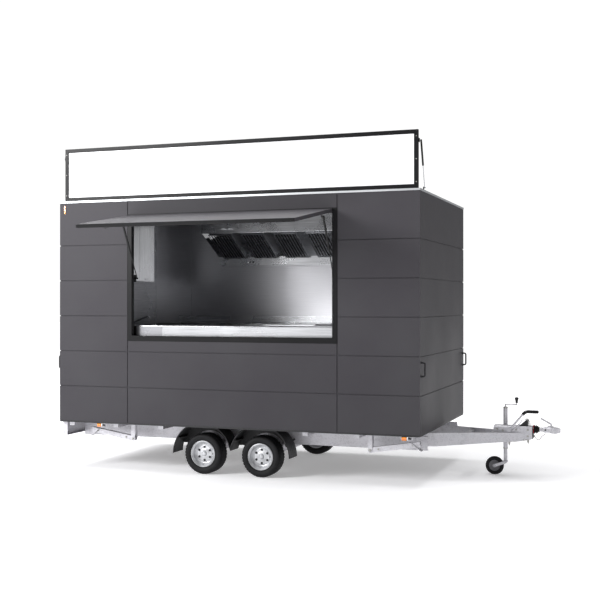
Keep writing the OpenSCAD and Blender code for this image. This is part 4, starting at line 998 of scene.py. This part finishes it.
def rear_lamps():
    """A lamp of three colours at each side, a fog lamp, triangles and a blank plate."""
    z0, z1 = FLOOR - 128, FLOOR - 30
    body = slab((-6, 110, z0), (4, 400, z1), 3)
    fog_foot = slab((-4, 440, FLOOR - 110), (4, 500, FLOOR - 60), 2)
    red = [slab((-14, 114, z0 + 4), (-5, 216, z1 - 4), 5, 3),
           slab((-8, 443, FLOOR - 107), (-3, 497, FLOOR - 63), 2, 3)]
    amber = slab((-14, 219, z0 + 4), (-5, 306, z1 - 4), 5, 3)
    clear = slab((-14, 309, z0 + 4), (-5, 396, z1 - 4), 5, 3)
    triangle = rod(spot(4, 600, FLOOR - 90), spot(-3, 600, FLOOR - 90), 72, 3, edge=3)
    base = fit(both_sides(body, fog_foot), "rear_lamp_bodies", POLYPROPYLENE)
    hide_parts("rear_lamps")
    fit(both_sides(*red, triangle), "rear_red_lenses", RED_LENS)
    fit(both_sides(amber), "rear_amber_lenses", AMBER)
    fit(both_sides(clear), "rear_clear_lenses", CLEAR_LENS)
    plate = slab((-1, WIDTH / 2 - 260, FLOOR - 140), (4.5, WIDTH / 2 + 260, FLOOR - 28), 1.5)
    fit(plate, "blank_number_plate", SIGN_WHITE)
    lights = [slab((-22, y - 28, FLOOR - 24), (4, y + 28, FLOOR - 6), 4)
              for y in (WIDTH / 2 - 150, WIDTH / 2 + 150)]
    fit(join(lights), "number_plate_lamps", POLYPROPYLENE)


def handle_feet():
    """Round feet at each end of the grab handles."""
    low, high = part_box("grab_handles")
    middle = (low.z + high.z) / 2
    reach = (high.z - low.z) / 2 - 0.009
    foot_profile = [(0.1, 0), (13, 0), (15.5, 1.2), (15, 3.6), (9.4, 6), (0.1, 6)]
    feet = []
    for y in (55, WIDTH - 55):
        for way in (-1, 1):
            for x, out in ((0, -1), (LENGTH, 1)):
                place = spot(x, y, (middle + way * reach) * 1000)
                feet.append(turned(foot_profile, place, (out, 0, 0), 28))
    fit(join(feet), "grab_handle_feet", POLYPROPYLENE)


def door_details():
    """Rubber seal, lever with its plate and the lock of the entrance door."""
    x0, x1 = DOOR_X
    z0, z1 = (corner[2] for corner in limits("entrance_door"))
    out = WIDTH
    plate = slab((x0 + 38, out + 0.3, z0 + 908), (x0 + 82, out + 9.5, z0 + 1052), 3)
    neck = turned([(9.2, 0), (14, 0), (14, 4), (10.5, 7), (10, 34), (9.2, 34)],
                  spot(x0 + 60, out + 9, z0 + 1005), (0, 1, 0), 28)
    lever = slab((x0 + 48, out + 28.5, z0 + 994.5), (x0 + 182, out + 45.4, z0 + 1015.5), 6, 4)
    fit(join([plate, neck, lever]), "door_lever", POLYPROPYLENE, "door")
    lock = turned([(0.1, 0), (10, 0), (12, 1.5), (12, 4), (0.1, 4)],
                  spot(x0 + 60, out + 12.5, z0 + 945), (0, -1, 0), 32)
    fit(lock, "door_lock", CHROME, "door")
    seal = []
    for a, b in (((x0 - 9, z0 - 9), (x1 + 1, z0 - 1)), ((x0 - 9, z1 + 1), (x1 + 1, z1 + 9)),
                 ((x0 - 9, z0 - 9), (x0 - 1.2, z1 + 9))):
        seal.append(slab((a[0], out - 0.4, a[1]), (b[0], out + 1.6, b[1]), 0.7))
    fit(join(seal), "door_seal", SEAL_RUBBER)


skirt_strip()
roof_edge()
marker_lamps()
rear_lamps()
handle_feet()
door_details()

# ---------------------------------------------------------------- serving hatch and its frame


def hatch_point(x, along, out):
    """A point on the raised hatch: x, down its length and out of its inner face, in mm."""
    y = -15 - out * math.cos(HATCH_SWING) - along * math.sin(HATCH_SWING)
    axis_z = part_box("hatch_frame")[1].z * 1000 - 42
    return spot(x, y, axis_z + out * math.sin(HATCH_SWING) - along * math.cos(HATCH_SWING))


def hatch_block(low, high, edge):
    """A block in the hatch's own plane, turned up with it."""
    low, high = Vector(low), Vector(high)
    piece = block(low / 1000, high / 1000, edge)
    down = Vector((0, -math.sin(HATCH_SWING), -math.cos(HATCH_SWING)))
    out = Vector((0, -math.cos(HATCH_SWING), math.sin(HATCH_SWING)))
    turn = Matrix(((1, 0, 0), (0, down.y, out.y), (0, down.z, out.z))).to_4x4()
    piece.matrix_world = Matrix.Translation(hatch_point(0, 0, 0)) @ turn
    return straighten(settle(piece))


def hatch_details():
    """Seal, latches, stiffeners, edge profile and lining of the hatch."""
    x0, x1 = OPENING_X[0] + 1, OPENING_X[1] - 1
    length = HATCH_LENGTH
    seal = [
        hatch_block((x0 + 14, 78, -8), (x0 + 22, length - 12, -4.8), 1.2),
        hatch_block((x1 - 22, 78, -8), (x1 - 14, length - 12, -4.8), 1.2),
        hatch_block((x0 + 14, length - 20, -8), (x1 - 14, length - 12, -4.8), 1.2),
    ]
    fit(join(seal), "hatch_seal", SEAL_RUBBER, "hatch")
    fasteners = []
    for x in (x0 + 330, x1 - 330):
        fasteners.append(hatch_block((x - 32, length - 27, -13), (x + 32, length - 4, -4.5), 3))
        fasteners.append(hatch_block((x - 8, length - 22, -22), (x + 8, length - 9, -10), 3))
    fit(join(fasteners), "hatch_latches", POLYPROPYLENE, "hatch")
    stiff = [hatch_block((x - 20, 72, 6.5), (x + 20, length - 32, 11.3), 1.5) for x in (1510, 2100, 2690)]
    fit(join(stiff), "hatch_stiffeners", BLACK_COAT, "hatch")
    edge = hatch_block((x0 + 0.5, length - 6, -5.2), (x1 - 0.5, length + 0.2, 31.2), 1.4)
    fit(edge, "hatch_edge_profile", BLACK_COAT, "hatch")
    skin = hatch_block((x0 + 31, 71, 10.4), (x1 - 31, length - 31, 11.2), 0.3)
    fit(skin, "hatch_lining", BLACK_COAT, "hatch")


def frame_gasket():
    """Rubber lip round the serving opening."""
    (x0, x1), z0, z1 = OPENING_X, 1515, 2819
    pieces = [
        slab((x0 + 0.1, -8, z0 + 4), (x0 + 6, -3.5, z1), 1.2),
        slab((x1 - 6, -8, z0 + 4), (x1 - 0.1, -3.5, z1), 1.2),
        slab((x0 + 0.1, -8, z0 + 0.1), (x1 - 0.1, -3.5, z0 + 6), 1.2),
    ]
    fit(join(pieces), "opening_gasket", SEAL_RUBBER)


hatch_details()
frame_gasket()

# ---------------------------------------------------------------- kitchen

TOP = limits("back_worktop")[1][2] - 90
DECK = limits("floor_panel")[1][2]
BACK_TOP_Y = limits("back_worktop")[0][1]
COUNTER_Y = limits("serving_counter")[1][1]


def linings():
    """Stainless sheets on the inner walls, with their joints, a ceiling in dark anthracite as painted shade
    under the roof, and the floor.
    """
    deck, ceiling = DECK, CEILING
    y = WIDTH - WALL
    edges = [WALL + 1, 575, 2660, 3386]
    back = [slab((a + 0.8, y - 1.6, deck + 2), (b - 0.8, y - 0.2, ceiling - 1), 0.3)
            for a, b in zip(edges, edges[1:])]
    fit(join(back), "back_wall_lining", WALL_STEEL)
    ends = []
    for x, way in ((WALL, 1), (LENGTH - WALL, -1)):
        for a, b in ((WALL + 1, 780), (782, 1530), (1532, y - 2)):
            near, far = sorted((x + way * 0.2, x + way * 1.6))
            ends.append(slab((near, a, deck + 2), (far, b, ceiling - 1), 0.3))
    fit(join(ends), "end_wall_lining", STAINLESS_ACROSS)
    front = [slab((WALL + 2, WALL + 0.2, deck + 2), (873, WALL + 1.6, ceiling - 1), 0.3),
             slab((3327, WALL + 0.2, deck + 2), (LENGTH - WALL - 2, WALL + 1.6, ceiling - 1), 0.3)]
    fit(join(front), "serving_wall_lining", STAINLESS)
    # the ceiling takes the dark cladding finish: painted shade under the roof
    cover = [slab((a, WALL + 2, ceiling - 2.2), (a + 1020, y - 2, ceiling - 0.3), 0.4)
             for a in (WALL + 2, WALL + 1024, WALL + 2046, WALL + 3068)]
    fit(join(cover), "ceiling_lining_painted_shade", CLADDING)
    mat = slab((WALL + 2, WALL + 2, deck + 0.2), (LENGTH - WALL - 2, y - 2, deck + 2), 0.4)
    fit(mat, "floor_covering", VINYL)


def worktop_edges():
    """Rolled front edges, the joint strip and the coved upstand of the worktops."""
    rolls = [
        wire([spot(start, y, TOP - drop), spot(end, y, TOP - drop)], radius)
        for start, end, y, drop, radius in (
            (WORKTOP_START, WORKTOP_END, BACK_TOP_Y, 6, 6.4),
            (WORKTOP_START, WORKTOP_END, BACK_TOP_Y + 2, 38, 3.5),
            (WORKTOP_START, COUNTER_END, COUNTER_Y, 6, 6.4),
            (WORKTOP_START, COUNTER_JOINT - 1.5, 95, 4, 4.2),
            (COUNTER_JOINT + 1.5, COUNTER_END, 95, 4, 4.2),
        )
    ]
    cove = slab((WORKTOP_START, 2226, TOP - 0.5), (WORKTOP_END, 2231, TOP + 5), 2)
    fit(join([*rolls, cove]), "worktop_rolled_edges", STAINLESS)


def cabinet_doors():
    """Doors with folded pulls under both worktops, and the flaps of the wall cabinet."""
    y, inner = BACK_TOP_Y + 30, COUNTER_Y - 30
    doors, pulls = [], []
    for x in range(420, 2753, 583):
        for door, pull in (((y - 17, y - 0.3), (y - 30, y - 16)),
                           ((inner + 0.3, inner + 17), (inner + 16, inner + 30))):
            doors.append(slab((x, door[0], DECK + 110), (x + 570, door[1], TOP - 60), 3))
            pulls.append(slab((x + 150, pull[0], TOP - 95), (x + 420, pull[1], TOP - 82), 4))
    fit(join(doors), "cabinet_doors", STAINLESS_UPRIGHT)
    fit(join(pulls), "cabinet_pulls", CHROME)
    z0, z1 = (corner[2] for corner in limits("wall_cabinet"))
    flaps = []
    for a, b in ((58, 430), (434, 806), (810, 1182), (1186, 1562)):
        flaps.append(slab((375.2, a, z0 + 8), (383, b, z1 - 8), 2.5))
        flaps.append(slab((382, (a + b) / 2 - 60, z0 + 24), (395, (a + b) / 2 + 60, z0 + 34), 3))
    fit(join(flaps), "wall_cabinet_flaps", STAINLESS_UPRIGHT)


def sink_details():
    """Round spout with its lever, the basin's rim and its drain."""
    rim = []
    (x0, x1), (y0, y1) = BASIN_X, BASIN_Y
    for a, b in (((x0 - 9, y0 - 9), (x1 + 9, y0 - 1)), ((x0 - 9, y1 + 1), (x1 + 9, y1 + 9)),
                 ((x0 - 9, y0 - 9), (x0 - 1, y1 + 9)), ((x1 + 1, y0 - 9), (x1 + 9, y1 + 9))):
        rim.append(block(spot(*a, TOP - 0.5), spot(*b, TOP + 2), 0.9))
    fit(join(rim), "basin_rim", STAINLESS)
    drain = [(0.1, 3), (16, 3), (20, 1.5), (30, 0.5), (38, 3.5), (44, 3), (45, 0), (0.1, 0)]
    fit(turned(drain, spot((x0 + x1) / 2, (y0 + y1) / 2, TOP - 160), (0, 0, 1), 40), "basin_drain", CHROME)
    foot = spot(x0 - 32, (y0 + y1) / 2, TOP)
    base = turned([(0.1, 0), (23, 0), (24, 3), (23, 9), (17.5, 11), (16.5, 27), (13, 31), (0.1, 32)],
                  foot, (0, 0, 1), 40)
    slant = math.radians(69)
    reach = ((x1 - x0) / 2 + 28) / 1000
    top = foot + Vector((reach, 0, 0.017 + reach / math.tan(slant)))
    root = foot + Vector((0, 0, 0.017))
    mouth_at = top + Vector((0.028, 0, -0.039))
    spout = wire([root, top, mouth_at], 8.8, 22, sides=5)
    mouth = turned([(5, 0), (9.6, 0), (10, 2), (10, 12), (8.8, 14), (5, 14)], mouth_at, top - mouth_at, 28)
    lever = wire([root, foot + Vector((-0.045, 0, 0.071))], 5.5, sides=4)
    tap = fit(join([base, spout, mouth, lever]), "chrome_faucet", CHROME)
    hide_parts("faucet")


def hood_details():
    """Baffle filters in their frames, the front trough, a lamp, a knob and a switch."""
    (x_start, face, bottom), (x_end, hood_back, _) = limits("extractor_hood")
    y0, z_front = face + 14, CEILING - 204
    y1, z_back = hood_back - 100, bottom + 111
    run = math.hypot(y1 - y0, z_back - z_front)
    angle = math.degrees(math.atan2(z_back - z_front, y1 - y0))
    hinge = spot(0, y0, z_front)  # the slope starts at the front edge of the filters

    def on_slope(low_corner, high_corner, edge):
        piece = slab((low_corner[0], y0 + low_corner[1], z_front + low_corner[2]),
                     (high_corner[0], y0 + high_corner[1], z_front + high_corner[2]), edge)
        new = copied(piece, turn=angle, axis="X", about=hinge)
        bpy.data.objects.remove(piece)
        return new

    count, step = 5, 430
    first = x_start + 60 + (x_end - x_start - 60 - count * step) / 2
    frames, slats, backs = [], [], []
    for i in range(count):
        x = first + i * step
        backs.append(on_slope((x - 4, 18, -23.4), (x + 304, run - 18, -21.8), 0.3))
        for a, b in (((x - 6, 14), (x + 306, 26)), ((x - 6, run - 26), (x + 306, run - 14)),
                     ((x - 6, 14), (x + 6, run - 14)), ((x + 294, 14), (x + 306, run - 14))):
            frames.append(on_slope((a[0], a[1], -36), (b[0], b[1], -21), 2))
        slat = on_slope((x + 12, 27, -34), (x + 30, run - 27, -25), 4)
        slats.append(slat)
        for k in range(1, 8):
            slats.append(copied(slat, (k * 0.0365, 0, 0)))
    fit(join(backs), "filter_shadow_plates", BLACK_COAT)
    fit(join(frames), "filter_frames", STAINLESS_ACROSS)
    fit(join(slats), "filter_baffles", FILTER_STEEL)
    lip_y, z = y1, bottom + 42
    knob = turned([(0.1, 0), (9, 0), (11, 2), (12, 14), (14, 16), (0.1, 16)],
                  spot(1420, lip_y - 16, z), (0, 1, 0), 28)
    fit(knob, "hood_knob", CHROME)
    switch = [slab((1492, lip_y - 7, z - 10), (1516, lip_y - 0.2, z + 10), 3),
              slab((1452, lip_y - 4, z - 9), (1468, lip_y - 0.2, z + 9), 2)]
    fit(join(switch), "hood_switches", POLYPROPYLENE)
    trough = [slab((x_start + 2, face - 10, z_front - 13), (3293, face + 2, z_front - 2), 3),
              slab((x_start + 2, lip_y - 6, bottom - 6), (3293, lip_y + 3, bottom + 6), 2)]
    fit(join(trough), "hood_gutters", STAINLESS)
    lamp = [slab((x, face - 16, z_front + 30), (x + 60, face - 0.3, z_front + 48), 4)
            for x in (1300, 1390)]
    fit(join(lamp), "hood_lamps", CLEAR_LENS)


linings()
worktop_edges()
cabinet_doors()
sink_details()
hood_details()

# ---------------------------------------------------------------- sign and steady legs


def sign_details():
    """Beads round the sign's sheet, the stiffeners behind it and the screws of its frame."""
    (x0, y, z0), (x1, back, z1) = limits("sign_panel")
    frame_y = limits("sign_frame")[0][1]
    beads = [
        slab((x0, y - 6, z0), (x1, y - 0.3, z0 + 7), 1.5),
        slab((x0, y - 6, z1 - 7), (x1, y - 0.3, z1), 1.5),
        slab((x0, y - 6, z0), (x0 + 7, y - 0.3, z1), 1.5),
        slab((x1 - 7, y - 6, z0), (x1, y - 0.3, z1), 1.5),
    ]
    for x in (x0 + 900, (x0 + x1) / 2, x1 - 900):
        beads.append(slab((x - 15, back + 0.3, z0), (x + 15, back + 14, z1), 2))
    fit(join(beads), "sign_glazing_beads", BLACK_COAT, "sign")
    heads = []
    for x in (x0 - 18, x1 + 18):
        for z in (z0 + 30, (z0 + z1) / 2, z1 - 30):
            heads.append(turned([(0.1, 0), (3.4, 0), (5, 1), (5.4, 2.6), (0.1, 2.6)],
                                spot(x, frame_y - 2.3, z), (0, 1, 0), 16))
    fit(join(heads), "sign_screws", BOLT_ZINC, "sign")


def steady_details():
    """Spindle, nuts and bolts of each steady leg."""
    for name in WHEELS:
        low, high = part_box("steady_leg_" + name)
        way = -1 if name.startswith("rear") else 1
        middle = (low.y + high.y) / 2
        pivot = spot(STEADY_REAR if way < 0 else STEADY_FRONT, 0, FLOOR - STEADY_DROP)
        tilt = math.radians(9)
        along = Vector((way * math.cos(tilt), 0, math.sin(tilt)))
        centre = Vector((pivot.x, middle, pivot.z))
        outward = -1 if middle < MIDDLE else 1
        side = centre + Vector((0, outward * 0.0252, 0))
        pieces = [
            hex_bolt(side + along * 0.09, (0, outward, 0), 9, 5),
            hex_bolt(side + along * 0.46, (0, outward, 0), 9, 5),
            rod(centre - along * 0.02, centre + along * 0.44, 8, 20),
            rod(centre + along * 0.435, centre + along * 0.462, 15, 6, edge=1.5),
        ]
        fit(join(pieces), "steady_spindle_" + name, BOLT_ZINC, "steady_" + name)
        pins = [hex_bolt(centre + Vector((0, out * 0.0335, 0)), (0, out, 0), 11, 5) for out in (-1, 1)]
        fit(join(pins), "steady_pivot_nuts_" + name, BOLT_ZINC)


sign_details()
steady_details()

# ---------------------------------------------------------------- studio


def studio():
    """White floor and world, and the lights."""
    bpy.ops.object.select_all(action="DESELECT")
    bpy.ops.mesh.primitive_plane_add(size=160, location=(0, 0, 0))
    floor = bpy.context.object
    floor.name = floor.data.name = "studio_floor"
    floor.data.materials.append(pale_floor("matt_white_floor"))
    world = bpy.data.worlds.new("studio")
    bpy.context.scene.world = world
    world.use_nodes = True
    tree = world.node_tree
    tree.nodes.clear()
    seen = add(tree, "ShaderNodeBackground", {"Color": (1, 1, 1, 1), "Strength": 1.05})
    light = add(tree, "ShaderNodeBackground", {"Color": (1, 1, 1, 1), "Strength": 0.3})
    ray = add(tree, "ShaderNodeLightPath")
    chosen = {0: ray.outputs["Is Camera Ray"], 1: light.outputs[0], 2: seen.outputs[0]}
    mix = add(tree, "ShaderNodeMixShader", chosen)
    add(tree, "ShaderNodeOutputWorld", {"Surface": mix.outputs[0]})
    # key from the front left, roof light, and the white panel that the cabin's steel mirrors
    softbox((-6.3, -7.2, 4.9), (-0.8, SERVING, 1.6), 3.5, 3.0, 830)
    softbox((-2.2, 0, 9.0), (-2.2, 0, 0), 10.5, 9, 1250)
    softbox((-4.4, -9.6, 2.2), (-0.4, BACK, 2.1), 4.2, 3.6, 28)
    # lamps in the cabin: at the front end, before the wall cabinet and under the hood
    softbox(spot(4110, 1150, 1950), spot(0, 1300, 2100), 1.7, 1.4, 7)
    softbox(spot(860, 1800, 2450), spot(375, 700, 2500), 0.7, 0.9, 1.0)
    softbox(spot(2650, 1450, 1720), spot(2450, 1900, 2600), 1.8, 0.6, 6)


studio()
bpy.context.scene.view_settings.view_transform = "Standard"
